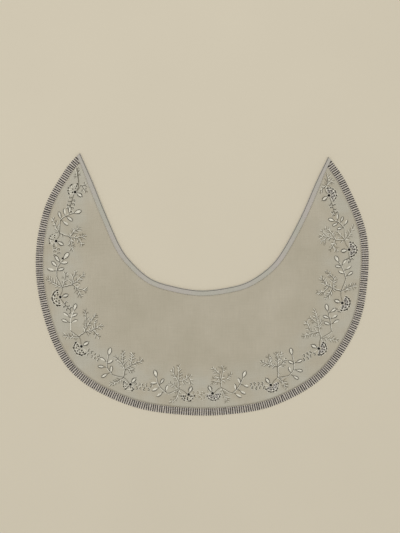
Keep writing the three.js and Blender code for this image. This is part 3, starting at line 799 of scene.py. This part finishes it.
def ring(work, spray, radius, thread, finish, sides, places, lift=0.5):
    """A worked ring round the middle of the knot."""
    turn = 2 * np.pi * np.arange(places) / places
    circle = radius * np.stack([np.cos(turn), np.sin(turn)], -1)
    work.strand(spray.put(circle, lift * thread), thread, thread, finish, sides, closed=True)


def dots(work, spray, centres, radius, finish, height):
    """Small domed knots at chart places."""
    share = np.array((0.02, 0.5, 0.86, 1.0, 0.86, 0.5, 0.02))
    run = np.linspace(-1, 1, len(share))[:, None] * (radius, 0)
    paths = np.asarray(centres, float)[:, None] + run
    work.strand(spray.put(paths, height * 0.35), 2 * radius * share, height * share, finish)


def drop_profile(t):
    """Half the width of a drop from its point to its round end, as a share of its full half width."""
    return np.sin(np.pi * np.clip(t, 0, 1) ** 1.25) ** 0.65


def satin_drop(work, spray, point, direction, long, wide, fill, outline, outlined=(1, -1)):
    """A padded satin-stitched leaf or petal with an outline on both sides or on one."""
    rim = bpy.context.scene.collar_embroidery.outline_width
    padding_height, strand_width, strand_height, rim_height = 0.0007, 0.00038, 0.00022, 0.0004
    edge_lift, crown, spacing, slant = 0.00012, 0.00034, 0.0004, 0.05
    axis = unit(direction)
    side = beside(axis)

    def at(t, s):
        """Places at shares of the length from the point and of the half width to the left."""
        t, s = (np.asarray(share, float)[..., None] for share in (t, s))
        return point + t * long * axis + s * wide / 2 * side

    t = np.linspace(0.02, 0.985, 14)
    share = drop_profile(t)
    work.strand(spray.put(at(t, 0), 0.0001), wide * share, padding_height * share**0.5, fill, sides=8)
    middles = np.linspace(0.07, 0.95, int(long / spacing))[:, None]
    s = np.linspace(-1, 1, 6)
    t = middles + slant * s
    lift = edge_lift + crown * np.sqrt(1 - s**2) * drop_profile(middles) ** 0.5
    strands = at(t, s * drop_profile(t.clip(0.02, 0.98)) * 0.98)
    work.strand(spray.put(strands, lift), strand_width, strand_height, fill)
    around = np.linspace(0, 1, 15) ** 0.9
    margin = 1 + rim / wide
    for sign in outlined:
        edge = at(around * 1.05 - 0.01, sign * drop_profile(around) * margin)
        work.strand(spray.put(edge, 0.0002), rim, rim_height, outline)
    return at, margin


def work_fan(work, spray, white, dark, pale, grey):
    """The flower's fan: rows of dark eyelets between pale spokes, inside a scalloped rim."""
    look, draw = spray.look, spray.draw
    scallops, scallop_depth, rim_radius, rim_depth, grounding = 7, 0.0009, 0.0063, 0.0018, 36
    centre = np.array((look["fan_shift"] * SQUARE, -0.0004))
    first_side = np.pi + math.radians(look["fan_turn"])

    def lay(angle, radius, finish, lift, width, height, sides=6):
        """Lays threads at angles from the fan's first side and at distances from its centre."""
        angle, radius = np.broadcast_arrays(first_side + angle, radius)
        reach = look["fan"] * radius[..., None]
        places = centre + reach * np.stack([np.cos(angle), np.sin(angle)], -1)
        work.strand(spray.put(places, lift), width, height, finish, sides)

    if look["ground"]:
        rays = np.pi * (np.arange(grounding)[:, None] + 0.5) / grounding
        reach = np.linspace(0.0018, 0.0062, 6)
        lay(rays, reach, grey, lift=0.00003, width=0.00036, height=0.00018, sides=4)
    swing = np.pi * np.linspace(0, 1, scallops * 8 + 1)
    rim = rim_radius + scallop_depth * np.abs(np.sin(swing * scallops)) ** 0.7
    strength = look["worked"] ** 2
    lay(swing, rim, pale, lift=0.0002, width=0.00032 * strength, height=0.0003)
    lay(swing, rim - rim_depth, pale, lift=0.00012, width=0.0004 * strength, height=0.00028)
    spokes = np.pi * np.arange(scallops + 1)[:, None] / scallops
    lay(spokes, np.linspace(0.0022, 0.0056, 5), pale, lift=0.0001, width=0.0004, height=0.00026)
    swelling = np.array((0.02, 0.6, 0.9, 1.0, 0.9, 0.6, 0.02))
    eyelet_rows = (
        (8, rim_radius, 0.0011, 0.0014, look["rim"]),
        (5, 0.0044, 0.0011, 0.0015, 1.0),
        (3, 0.0027, 0.0010, 0.0013, 1.0),
    )
    for count, radius, narrow, broad, long in eyelet_rows:
        for angle in np.pi * (np.arange(count) + 0.5) / count:
            if draw.random() > look["worked"]:
                continue
            width = draw.uniform(narrow, broad) * look["eyelet"]
            middle = angle + draw.uniform(-0.09, 0.09)
            reach = radius * draw.uniform(0.93, 1.05)
            half_sweep = 0.5 * long * draw.uniform(0.8, 1.2) * width / reach
            arc = middle + half_sweep * np.linspace(-1, 1, len(swelling))
            lay(arc, reach, dark, lift=0.00018, width=width * swelling, height=0.0005 * swelling)
    between = np.pi * np.arange(1, 5)[:, None] / 5
    oval = np.array((0.00042, 0.0014, 0.00042))
    lay(between, np.linspace(0.0045, 0.0057, 3), white, lift=0.00016, width=oval, height=0.0003)


def work_flower(spray, materials):
    """A whole flower: fan, petal with picots, ring, and the thread that leads to the coral."""
    stitches = bpy.context.scene.collar_embroidery
    long, wide = stitches.petal_length, stitches.petal_width
    petal_start, picot_gap, picot_radius, picot_height = 0.0018, 0.0012, 0.00028, 0.0003
    ring_radius, ring_thread, stem_width, stem_bow = 0.0015, 0.00034, 0.00044, 0.0009
    side_picots, top_picot = np.array((0.42, 0.66, 0.88)), np.array([1.17])
    white, outline, dark, pale, coral, grey = range(len(materials))
    work = Work()
    work_fan(work, spray, white, dark, pale, grey)
    point = spray.petal * petal_start
    at, margin = satin_drop(work, spray, point, spray.petal, long, wide, white, outline)
    reach = drop_profile(side_picots) * margin + picot_gap / wide
    picots = np.vstack([at(side_picots, reach), at(side_picots, -reach), at(top_picot, 0)])
    dots(work, spray, picots, picot_radius, outline, picot_height)
    ring(work, spray, ring_radius, ring_thread, pale, sides=6, places=20)
    root, start = charted(CORALS[spray.name]["root"]), np.array((-ring_radius, 0.0004))
    middle = (start + root) / 2 + (0, stem_bow)
    plain_line(work, spray, softened([start, middle, root]), coral, stem_width, taper=0.8)
    work.piece(f"flower_work_{spray.name}", materials, "petals", f"flower_{spray.name}")


def work_knot(spray, materials):
    """The dark knot in the middle of a flower: two coils and a crown."""
    radius = bpy.context.scene.collar_embroidery.knot / 2
    work = Work()
    ring(work, spray, radius * 0.62, radius * 0.76, 0, sides=8, places=20, lift=0.4)
    ring(work, spray, radius * 0.28, radius * 0.62, 0, sides=8, places=14, lift=0.95)
    dots(work, spray, [(0, 0)], radius * 0.5, 0, radius * 1.6)
    work.piece(f"knot_work_{spray.name}", materials, "knots", f"knot_{spray.name}")


def add_twig(work, spray, root, direction, squares, room=0.95, paired=0.7):
    """One straight twig with a spur, mostly with a painted highlight beside it, on still bare cloth."""
    draw = spray.draw
    look = bpy.context.scene.collar_embroidery
    reach = SQUARE * squares
    tip = root + direction * reach
    twig = np.array([root, (root + tip) / 2, tip])
    if not spray.bare(twig[1:], SQUARE * room):
        return
    plain_line(work, spray, twig, CORAL, look.twig_width)
    turn = draw.choice((-1, 1)) * draw.uniform(0.75, 1.05)
    spur = root * 0.55 + tip * 0.45 + turned(direction, turn) * reach * draw.uniform(0.42, 0.6)
    if draw.random() < 0.6 and spray.bare(spur[None], SQUARE * 0.9):
        plain_line(work, spray, [twig[1], spur], CORAL, look.twig_width * 0.9)
        spray.taken.append(spur[None])
    if draw.random() < paired:
        highlight_line(work, spray, twig, look.highlight_width, draw.choice((-1, 1)) * look.highlight_shift)
    spray.taken.append(even_steps(twig, SQUARE)[1:])


def add_twigs(work, spray, path, squares):
    """Twigs on alternate sides of a bough, from each kink, and a fork at its tip."""
    draw = spray.draw
    side = draw.choice((-1, 1))
    for number in range(1, len(path) - 1):
        forward = unit(path[number + 1] - path[number - 1])
        side = -side
        share = 1.1 - 0.3 * number / len(path)
        direction = turned(forward, side * draw.uniform(0.8, 1.1))
        add_twig(work, spray, path[number], direction, squares * share * draw.uniform(0.8, 1.2))
        if draw.random() < 0.6:
            direction = turned(forward, -side * draw.uniform(0.8, 1.1))
            add_twig(work, spray, path[number], direction, squares * share * 0.8)
    forward = unit(path[-1] - path[-2])
    for angle in (-0.6, 0.6):
        add_twig(work, spray, path[-1], turned(forward, angle), draw.uniform(2.2, 3.2))


def fill_with_twigs(work, spray, path):
    """Longer twigs from anywhere on a bough, into the wide gaps that are left."""
    draw = spray.draw
    places = even_steps(path, SQUARE / 2)
    for _ in range(3 * len(places)):
        number = draw.randrange(1, len(places) - 1)
        angle = draw.choice((-1, 1)) * draw.uniform(0.6, 1.2)
        direction = turned(unit(places[number + 1] - places[number - 1]), angle)
        add_twig(work, spray, places[number], direction, draw.uniform(3.6, 5.2), room=1.5, paired=0.2)


def work_coral(spray, materials):
    """The coral: a chain-stitched trunk, kinked boughs, straight twigs and painted highlights beside them."""
    look = bpy.context.scene.collar_embroidery
    bough, pale, shift = look.bough_width, look.highlight_width, look.highlight_shift
    bough_twigs, trunk_twigs = 3.9, 2.6
    chart = CORALS[spray.name]
    root, fork = chart["root"], chart["fork"]
    trunk = spray.kinked(root, fork)
    boughs = [spray.kinked(fork, *places) for places in chart["boughs"]]
    boughs += [spray.kinked(root, *places) for places in chart.get("side", ())]
    branches = [spray.kinked(*places) for places in chart.get("branches", ())]
    stem = []
    if chart["stem"]:
        stem = [softened(charted([root, chart["stem"], SPRIGS[spray.name]["start"]]))]
    spray.taken = [even_steps(path, SQUARE / 2) for path in (trunk, *boughs, *branches, *stem)]
    work = Work()
    plain_line(work, spray, trunk, CORAL, bough, taper=1.0)
    chain_line(work, spray, trunk, CORAL)
    highlight_line(work, spray, trunk, pale, shift)
    for path, width in [(path, bough) for path in boughs] + [(path, bough * 0.85) for path in branches]:
        plain_line(work, spray, path, CORAL, width)
        highlight_line(work, spray, path, pale * 0.9, shift)
        add_twigs(work, spray, path, bough_twigs)
    add_twigs(work, spray, trunk, trunk_twigs)
    for path in (*boughs, *branches):
        fill_with_twigs(work, spray, path)
    if "line" in chart:
        plain_line(work, spray, softened(charted(chart["line"])), CORAL, bough * 1.3, taper=0.9)
    for path in stem:
        chain_line(work, spray, path, CORAL)
        highlight_line(work, spray, path, pale * 0.7, shift)
    work.piece(f"coral_work_{spray.name}", materials, "coral", f"coral_{spray.name}")


def work_leaves(spray, materials):
    """A leaf sprig: a chain-stitched stem and satin leaves on short stalks. The first leaf is the largest."""
    stitches = bpy.context.scene.collar_embroidery
    chart = SPRIGS[spray.name]
    white, outline, coral, pale = range(len(materials))
    lean, longer, wider = 0.0016, 1.14, 1.38
    stem_width, stem_shift, stalk_width, shortest_stalk = 0.0008, 0.0006, 0.00045, 0.0006
    leaf_long, leaf_wide = stitches.leaf_length * chart["size"], stitches.leaf_width * chart["size"]
    first, *others = charted(chart["leaves"])
    start, bend = charted(chart["start"]), charted(chart["bend"])
    run = first - bend
    foot = first - unit(run) * leaf_long * longer / 2
    stem = softened([start, bend, foot])
    work = Work()
    chain_line(work, spray, stem, coral)
    # Where the stem is dark, the pale thread lies beside it as a painted highlight; where pale, on top of it.
    shift = 0.0 if chart["stem_shade"] == "pale" else stem_shift
    pale_stem = stem + shift * beside(stem[-1] - stem[0])
    plain_line(work, spray, pale_stem, pale, stem_width - shift / 2, taper=0.9)
    satin_drop(work, spray, foot, run, leaf_long * longer, leaf_wide * wider, white, outline)
    fine_step = 0.0004
    fine = even_steps(stem, fine_step)
    for place in others:
        below = place - lean * unit(foot - start)
        root = fine[np.argmin(np.linalg.norm(fine - below, axis=1))]
        direction = place - root
        size = spray.draw.uniform(0.93, 1.05)
        long, wide = leaf_long * size, leaf_wide * size
        point = root + direction * max(0.0, 1 - 0.5 * long / np.linalg.norm(direction))
        if np.linalg.norm(point - root) > shortest_stalk:
            plain_line(work, spray, [root, (root + point) / 2, point], outline, stalk_width, taper=0.9)
        outlined = spray.draw.choice(((1, -1), (1, -1), (1,), (-1,)))
        satin_drop(work, spray, point, direction, long, wide, white, outline, outlined)
    work.piece(f"leaf_work_{spray.name}", materials, "leaves", f"leaves_{spray.name}")


def work_curl(spray, materials):
    """The small sprig of hooks that runs from a flower towards the back."""
    draw = spray.draw
    width = bpy.context.scene.collar_embroidery.twig_width
    reach, rise = spray.look["curl"]
    highlight_gap = 0.0006
    stem = softened(charted([(2.4, 0.4), (0.5 * reach, 0.25 * rise + 0.8), (reach, rise)]))
    steps = even_steps(stem, SQUARE * 1.9)
    work = Work()
    plain_line(work, spray, stem, CORAL if spray.look["curl_stem"] == "dark" else PALE, width, taper=0.8)
    for number in range(1, len(steps)):
        forward = unit(steps[number] - steps[number - 1])
        side = beside(forward) * (1 if number % 2 else -1)
        middle = steps[number] + SQUARE * (side * draw.uniform(1.7, 2.9) + forward * 0.5)
        spin = draw.choice((-1, 1))
        radius = SQUARE * draw.uniform(0.75, 1.15)
        bow = np.linspace(0, draw.uniform(2.8, 4.7), 10)
        hook = np.array([steps[number], *(middle + radius * turned(-side, spin * turn) for turn in bow)])
        if spray.clear(hook) and spray.open(middle):
            # Painted highlight: a pale thread just outside each dark hook.
            plain_line(work, spray, middle + (hook[2:] - middle) * (1 + highlight_gap / radius), PALE, width * 1.1)
            plain_line(work, spray, hook, CORAL, width * 1.25, taper=0.85)
    work.piece(f"curl_work_{spray.name}", materials, "coral")


# What the tape and the sewing stitches share.


def tape_width(along):
    """How wide the tape is at places along the neck edge. It is a little narrower at the tips."""
    from_tip = np.minimum(along, NECK.length - along)
    return TIP_TAPE_WIDTH + (TAPE_WIDTH - TIP_TAPE_WIDTH) * smoothstep(from_tip, NARROW_END, NARROW_START)


def tape_room(along, places=28, near_tip=0.012):
    """How wide the tape may be at places along the neck edge, so that it ends at the outer edge."""
    inward = np.linspace(0, TAPE_WIDTH, places)
    room = np.full(len(along), TAPE_WIDTH)
    for number in np.flatnonzero(np.minimum(along, NECK.length - along) < near_tip):
        beyond = np.flatnonzero(OUTER.depth(NECK.place(along[number], inward)) < 0)
        if len(beyond):
            room[number] = max(inward[max(beyond[0] - 1, 0)], 0.00002)
    return room


def sewing_row(edge, spots, inner, outer, heights, lift, slant=0.0005):
    """Paths of short slanted stitches beside an edge, from a band down to the cloth next to it."""
    first, last = edge.place(spots, inner), edge.place(spots + slant, outer)
    down = LIE.height(last) + bpy.context.scene.collar_cloth.thickness + lift
    ends = zip((first, (first + last) / 2, last), (*heights, down))
    return np.stack([raised(places, height) for places, height in ends], 1)


# The operators.


class COLLAR_OT_muslin(Operator):
    """Lay the crescent of fine muslin, from the fold of the tape to the edging"""

    bl_idname = "collar.muslin"
    bl_label = "Muslin"

    def execute(self, context):
        columns, rows, crowding = 380, 76, 1.15
        from_outer_tip, from_neck_tip = 0.008, 0.009
        seam_gap, under_tape = 0.0001, 0.0014
        pucker_height, hem_height = 0.00006, 0.00018
        hem_start, hem_full = 0.0102, 0.0092
        border_start, border_full = 0.050, 0.028
        share = np.linspace(0, 1, columns + 1)[:, None]
        along = from_outer_tip + (OUTER.length - 2 * from_outer_tip) * share
        outer_side = OUTER.place(along, EDGING_WIDTH + seam_gap)
        along = from_neck_tip + (NECK.length - 2 * from_neck_tip) * share
        neck_side = NECK.place(along, under_tape)
        across = np.linspace(0, 1, rows + 1)[:, None] ** crowding
        flat = neck_side + (outer_side - neck_side) * across
        x, y = np.moveaxis(flat, -1, 0)
        # Crossed waves about 8 mm long, bent by longer ones, so that the puckers don't repeat in rows.
        pucker = np.sin(900 * x + 3 * np.sin(310 * y)) * np.sin(700 * y + 2 * np.sin(260 * x))
        hem = hem_height * smoothstep(OUTER.distance(flat), hem_start, hem_full)
        low = LIE.height(flat)
        top = raised(flat, low + context.scene.collar_cloth.thickness + pucker_height * pucker + hem)
        work = Work()
        work.tube(np.concatenate([top[:, ::-1], raised(flat, low)], 1)[None], 0)
        made = work.piece("muslin_crescent", [muslin_finish()], "cloth", "ground")
        border = made.data.attributes.new("border", "FLOAT", "POINT")
        near = smoothstep(OUTER.distance(work.corners[0][:, :2]), border_start, border_full)
        border.data.foreach_set("value", near.astype(np.float32))
        return {"FINISHED"}


class COLLAR_OT_neck_tape(Operator):
    """Fold the silk tape over the neck edge, with a dark cord along the fold as painted shade of its edge"""

    bl_idname = "collar.neck_tape"
    bl_label = "Neck tape"

    def execute(self, context):
        cloth = context.scene.collar_cloth
        leaf, deep, width = cloth.tape_thickness, cloth.fold_depth, TAPE_WIDTH
        under, slack = 0.0002, 0.0001
        top = CLOTH_LIFT + cloth.thickness + slack + leaf
        bulge, middle = (top - under) / 2, (top + under) / 2
        back, crease, hem_start, hem_end = 0.0005, 0.6, 0.0006, 0.0002
        steps, end_gap, ripple_height, ripple_start = 520, 0.0009, 0.00007, 0.0012
        turn = np.linspace(-np.pi / 2, np.pi / 2, 9)
        fold = zip(back + deep * (1 - np.cos(turn)), middle + bulge * np.sin(turn))
        hollow = zip(back + leaf + deep * (1 - np.cos(turn) / 2), middle - (bulge - leaf) * np.sin(turn))
        outside = [(width, under), (width * crease, under), *fold]
        outside += [(width - hem_start, top), (width - hem_end, top)]
        inside = [(width, top - leaf / 2), (width * crease, top - leaf)]
        inside += [*hollow, (width * crease, under + leaf)]
        inward, height = np.array([*outside, *inside, (width, under + leaf / 2)]).T
        along = np.linspace(end_gap, NECK.length - end_gap, steps + 1)
        flat_from = back + leaf + deep
        share = (tape_width(along) - flat_from) / (width - flat_from)
        inward = np.where(inward > flat_from, flat_from + (inward - flat_from) * share[:, None], inward)
        inward = np.minimum(inward, tape_room(along)[:, None] * (0.97 + 0.03 * inward / width))
        ripple = ripple_height * np.sin(along * 1900 + 2 * np.sin(along * 310))[:, None]
        ripple = ripple * smoothstep(inward, ripple_start, width) * (height > middle)
        work = Work()
        rings = raised(NECK.place(along[:, None], inward), height + ripple)
        work.tube(rings[None, :, ::-1], 0)
        made = work.piece("neck_tape", [tape_finish()], "tape", "neck_binding")
        cut_width = float(lengths_along(outside)[-1])
        # Painted shade: a thin dark cord is laid along the neck edge where the tape's fold is shaded.
        cord = Work()
        shade_cord_gap, shade_cord_inward, shade_cord_height = 0.001, 0.0012, 0.0003
        places = NECK.place(np.linspace(shade_cord_gap, NECK.length - shade_cord_gap, 700), shade_cord_inward)
        cord.strand(raised(places, top), cloth.shade_cord_width, shade_cord_height, 0)
        cord.piece("neck_shade_cord", [thread_finish("grey neck shade cord", cloth.cord, 0.7, 0.2)], "tape")
        stitches = Work()
        stitch_gap, pitch, bow, on_tape, on_muslin = 0.009, 0.0021, 0.0001, 0.0007, 0.0006
        spots = np.arange(stitch_gap, NECK.length - stitch_gap, pitch)
        inner, outer = tape_width(spots) - on_tape, tape_width(spots) + on_muslin
        paths = sewing_row(NECK, spots, inner, outer, (top + bow, top - bow), lift=0.0001)
        stitches.strand(paths, width=0.00026, height=0.00022, finish=0)
        finish = thread_finish("tape sewing thread", cloth.muslin_pale, 0.7, 0.2)
        stitches.piece("tape_stitches", [finish], "tape")
        return {"FINISHED"}


class COLLAR_OT_edging(Operator):
    """Work the ladder edging: dark wrapped bars across pale rails, with the gaps open"""

    bl_idname = "collar.edging"
    bl_label = "Ladder edging"

    def execute(self, context):
        look, cloth = context.scene.collar_edging, context.scene.collar_cloth
        draw = random.Random(11)
        overhang, inner_gap, shortest, lean_most, drift = 0.0004, 0.0003, 0.0012, 0.00022, 0.00012
        bar_gap, rail_tuck, on_edging, on_muslin = 0.0001, 0.0004, 0.0004, 0.0009
        bar_lift, bar_height, rail_lift, loose_end, first_rail = 0.0005, 0.0006, 0.0002, 0.002, 0.0003
        rail_span = EDGING_WIDTH - 0.0011
        stations = np.linspace(look.start, OUTER.length - look.start, look.bars)
        pitch = stations[1] - stations[0]
        depth = np.linspace(-overhang, EDGING_WIDTH - inner_gap, 6 * look.lobes + 1)
        cells = 0.80 + 0.20 * np.abs(np.sin(np.pi * np.linspace(0, look.lobes, len(depth))))
        cells[0] = cells[-1] = 0.4
        bars = Work()
        for station in stations:
            clear = NECK.distance(OUTER.place(station, depth)) > TIP_TAPE_WIDTH + bar_gap
            end = depth[-1] if clear.all() else depth[np.argmin(clear)]
            if not clear[0] or end < shortest:
                continue
            lean = draw.uniform(-lean_most, lean_most)
            shift = station + lean * np.linspace(-1, 1, len(depth)) + draw.uniform(-drift, drift)
            width = look.bar_width * draw.uniform(0.88, 1.1)
            path = raised(OUTER.place(shift, np.linspace(depth[0], end, len(depth))), bar_lift)
            bars.strand(path, width * cells, bar_height * cells, 0, sides=8)
        finish = thread_finish("dark wrapped bars", look.bar, 0.7, 0.15, 0.0003)
        bars.piece("edging_bars", [finish], "edging", "edging")
        rails = Work()
        along = np.arange(look.start - loose_end, OUTER.length - look.start + loose_end, pitch / 2)
        for number in range(look.lobes + 1):
            places = OUTER.place(along, first_rail + rail_span * number / look.lobes)
            places = places[NECK.distance(places) > TIP_TAPE_WIDTH - rail_tuck]
            rails.strand(raised(places, rail_lift), look.rail_width, look.rail_width, 0)
        finish = thread_finish("pale rail thread", look.rail, 0.7, 0.2, 0.0003)
        rails.piece("edging_rails", [finish], "edging")
        seam = Work()
        spots = stations[5:-5] + pitch / 2
        inner, outer = EDGING_WIDTH - on_edging, EDGING_WIDTH + on_muslin
        paths = sewing_row(OUTER, spots, inner, outer, (0.0006, 0.0009), lift=0.00025)
        seam.strand(paths, width=0.0003, height=0.00024, finish=0)
        finish = thread_finish("edging sewing thread", cloth.muslin_pale, 0.75, 0.2)
        seam.piece("edging_seam", [finish], "edging")
        return {"FINISHED"}


class COLLAR_OT_flowers(Operator):
    """Work the flowers: eyelet fans with scalloped rims and satin petals with picots"""

    bl_idname = "collar.flowers"
    bl_label = "Flowers"

    def execute(self, context):
        look = context.scene.collar_embroidery
        materials = [
            thread_finish("white satin thread", look.white, 0.6, 0.3),
            thread_finish("flower outline thread", look.outline),
            thread_finish("dark eyelet thread", look.dark, 0.8, 0.05),
            thread_finish("pale flower thread", look.highlight),
            thread_finish("flower stem thread", look.coral),
            thread_finish("grey flower ground", look.ground),
        ]
        for name in SPRAYS:
            work_flower(Spray(name), materials)
        return {"FINISHED"}


class COLLAR_OT_knots(Operator):
    """Tie the dark knot in each flower, and the loose one on the third spray at the left"""

    bl_idname = "collar.knots"
    bl_label = "Dark knots"

    def execute(self, context):
        black = context.scene.collar_embroidery.black
        materials = [thread_finish("near black knot thread", black, 0.8, 0.03)]
        for name in SPRAYS:
            work_knot(Spray(name), materials)
        work = Work()
        dots(work, Spray("left_3"), [charted((-37.3, 10.3))], 0.001, 0, 0.0009)
        work.piece("loose_knot", materials, "knots")
        return {"FINISHED"}


class COLLAR_OT_coral(Operator):
    """Work the branched coral and the small curls beside each flower"""

    bl_idname = "collar.coral"
    bl_label = "Coral and curls"

    def execute(self, context):
        look = context.scene.collar_embroidery
        # Painted highlight: the pale threads beside the coral and the curls; the pale curl stems use it too.
        pale = thread_finish("pale highlight thread", look.highlight)
        shaded = {
            shade: thread_finish(f"{shade} coral thread", solid_colour(look.coral, factor)[:3])
            for shade, factor in SHADES.items()
        }
        for name in SPRAYS:
            spray = Spray(name)
            work_coral(spray, [shaded[spray.look["coral_shade"]], pale])
            work_curl(spray, [shaded[spray.look["curl_shade"]], pale])
        return {"FINISHED"}


class COLLAR_OT_leaves(Operator):
    """Work the leaf sprigs in white satin stitch with darker outlines"""

    bl_idname = "collar.leaves"
    bl_label = "Leaf sprigs"

    def execute(self, context):
        look = context.scene.collar_embroidery
        materials = [
            thread_finish("white leaf thread", look.white, 0.6, 0.3),
            thread_finish("leaf outline thread", look.outline),
            thread_finish("leaf stem thread", look.coral),
            thread_finish("pale stem thread", look.highlight),
        ]
        for name in SPRIGS:
            work_leaves(Spray(name), materials)
        return {"FINISHED"}


class COLLAR_OT_stage(Operator):
    """Lay the pale floor and set the soft lights and the camera above the collar"""

    bl_idname = "collar.stage"
    bl_label = "Floor, lights and camera"

    def execute(self, context):
        look = context.scene.collar_stage
        scene = context.scene
        floor_size, lamp_size, lamp_place, field_middle = 6.0, 1.2, (-0.4, 0.85, 1.85), (-0.0019, 0.0156)
        bpy.ops.mesh.primitive_plane_add(size=floor_size, location=(0, 0, 0))
        floor = context.object
        floor.name = "pale_floor"
        floor.data.materials.append(floor_finish())
        world = bpy.data.worlds.new("even light")
        world.use_nodes = True
        background = world.node_tree.nodes["Background"]
        background.inputs["Color"].default_value = (1.0, 1.0, 1.0, 1.0)
        background.inputs["Strength"].default_value = look.sky
        scene.world = world
        light = bpy.data.lights.new("soft light", "AREA")
        light.energy, light.size = look.lamp, lamp_size
        lamp = bpy.data.objects.new("soft_light", light)
        lamp.location = lamp_place
        aim = -lamp.location.normalized()
        lamp.rotation_mode = "QUATERNION"
        lamp.rotation_quaternion = aim.to_track_quat("-Z", "Y")
        scene.collection.objects.link(lamp)
        camera = bpy.data.cameras.new("overhead camera")
        camera.lens = camera.sensor_width * look.camera_height / look.field
        overhead = bpy.data.objects.new("overhead_camera", camera)
        overhead.location = (*field_middle, look.camera_height)
        scene.collection.objects.link(overhead)
        scene.camera = overhead
        scene.view_settings.view_transform = "Standard"
        return {"FINISHED"}


STEPS = (
    COLLAR_OT_stage,
    COLLAR_OT_muslin,
    COLLAR_OT_neck_tape,
    COLLAR_OT_edging,
    COLLAR_OT_flowers,
    COLLAR_OT_knots,
    COLLAR_OT_coral,
    COLLAR_OT_leaves,
)

SETTINGS = {
    "collar_cloth": COLLAR_PG_cloth,
    "collar_edging": COLLAR_PG_edging,
    "collar_embroidery": COLLAR_PG_embroidery,
    "collar_stage": COLLAR_PG_stage,
}


class COLLAR_PT_panel(Panel):
    """The collar's settings and steps"""

    bl_label = "Embroidered Collar"
    bl_idname = "COLLAR_PT_panel"
    bl_space_type = "VIEW_3D"
    bl_region_type = "UI"
    bl_category = "Collar"

    def draw(self, context):
        for setting in SETTINGS:
            box = self.layout.box()
            group = getattr(context.scene, setting)
            for name in group.bl_rna.properties.keys():
                if name not in ("rna_type", "name"):
                    box.prop(group, name)
        for step in STEPS:
            self.layout.operator(step.bl_idname)


CLASSES = (*SETTINGS.values(), *STEPS, COLLAR_PT_panel)


def register():
    """Registers the classes and the settings."""
    for cls in CLASSES:
        bpy.utils.register_class(cls)
    for name, group in SETTINGS.items():
        setattr(bpy.types.Scene, name, PointerProperty(type=group))


def unregister():
    """Removes the settings and the classes."""
    for name in SETTINGS:
        delattr(bpy.types.Scene, name)
    for cls in reversed(CLASSES):
        bpy.utils.unregister_class(cls)


def main():
    """Makes the whole collar."""
    register()
    for step in STEPS:
        group, name = step.bl_idname.split(".")
        getattr(getattr(bpy.ops, group), name)()


if __name__ == "__main__":
    main()
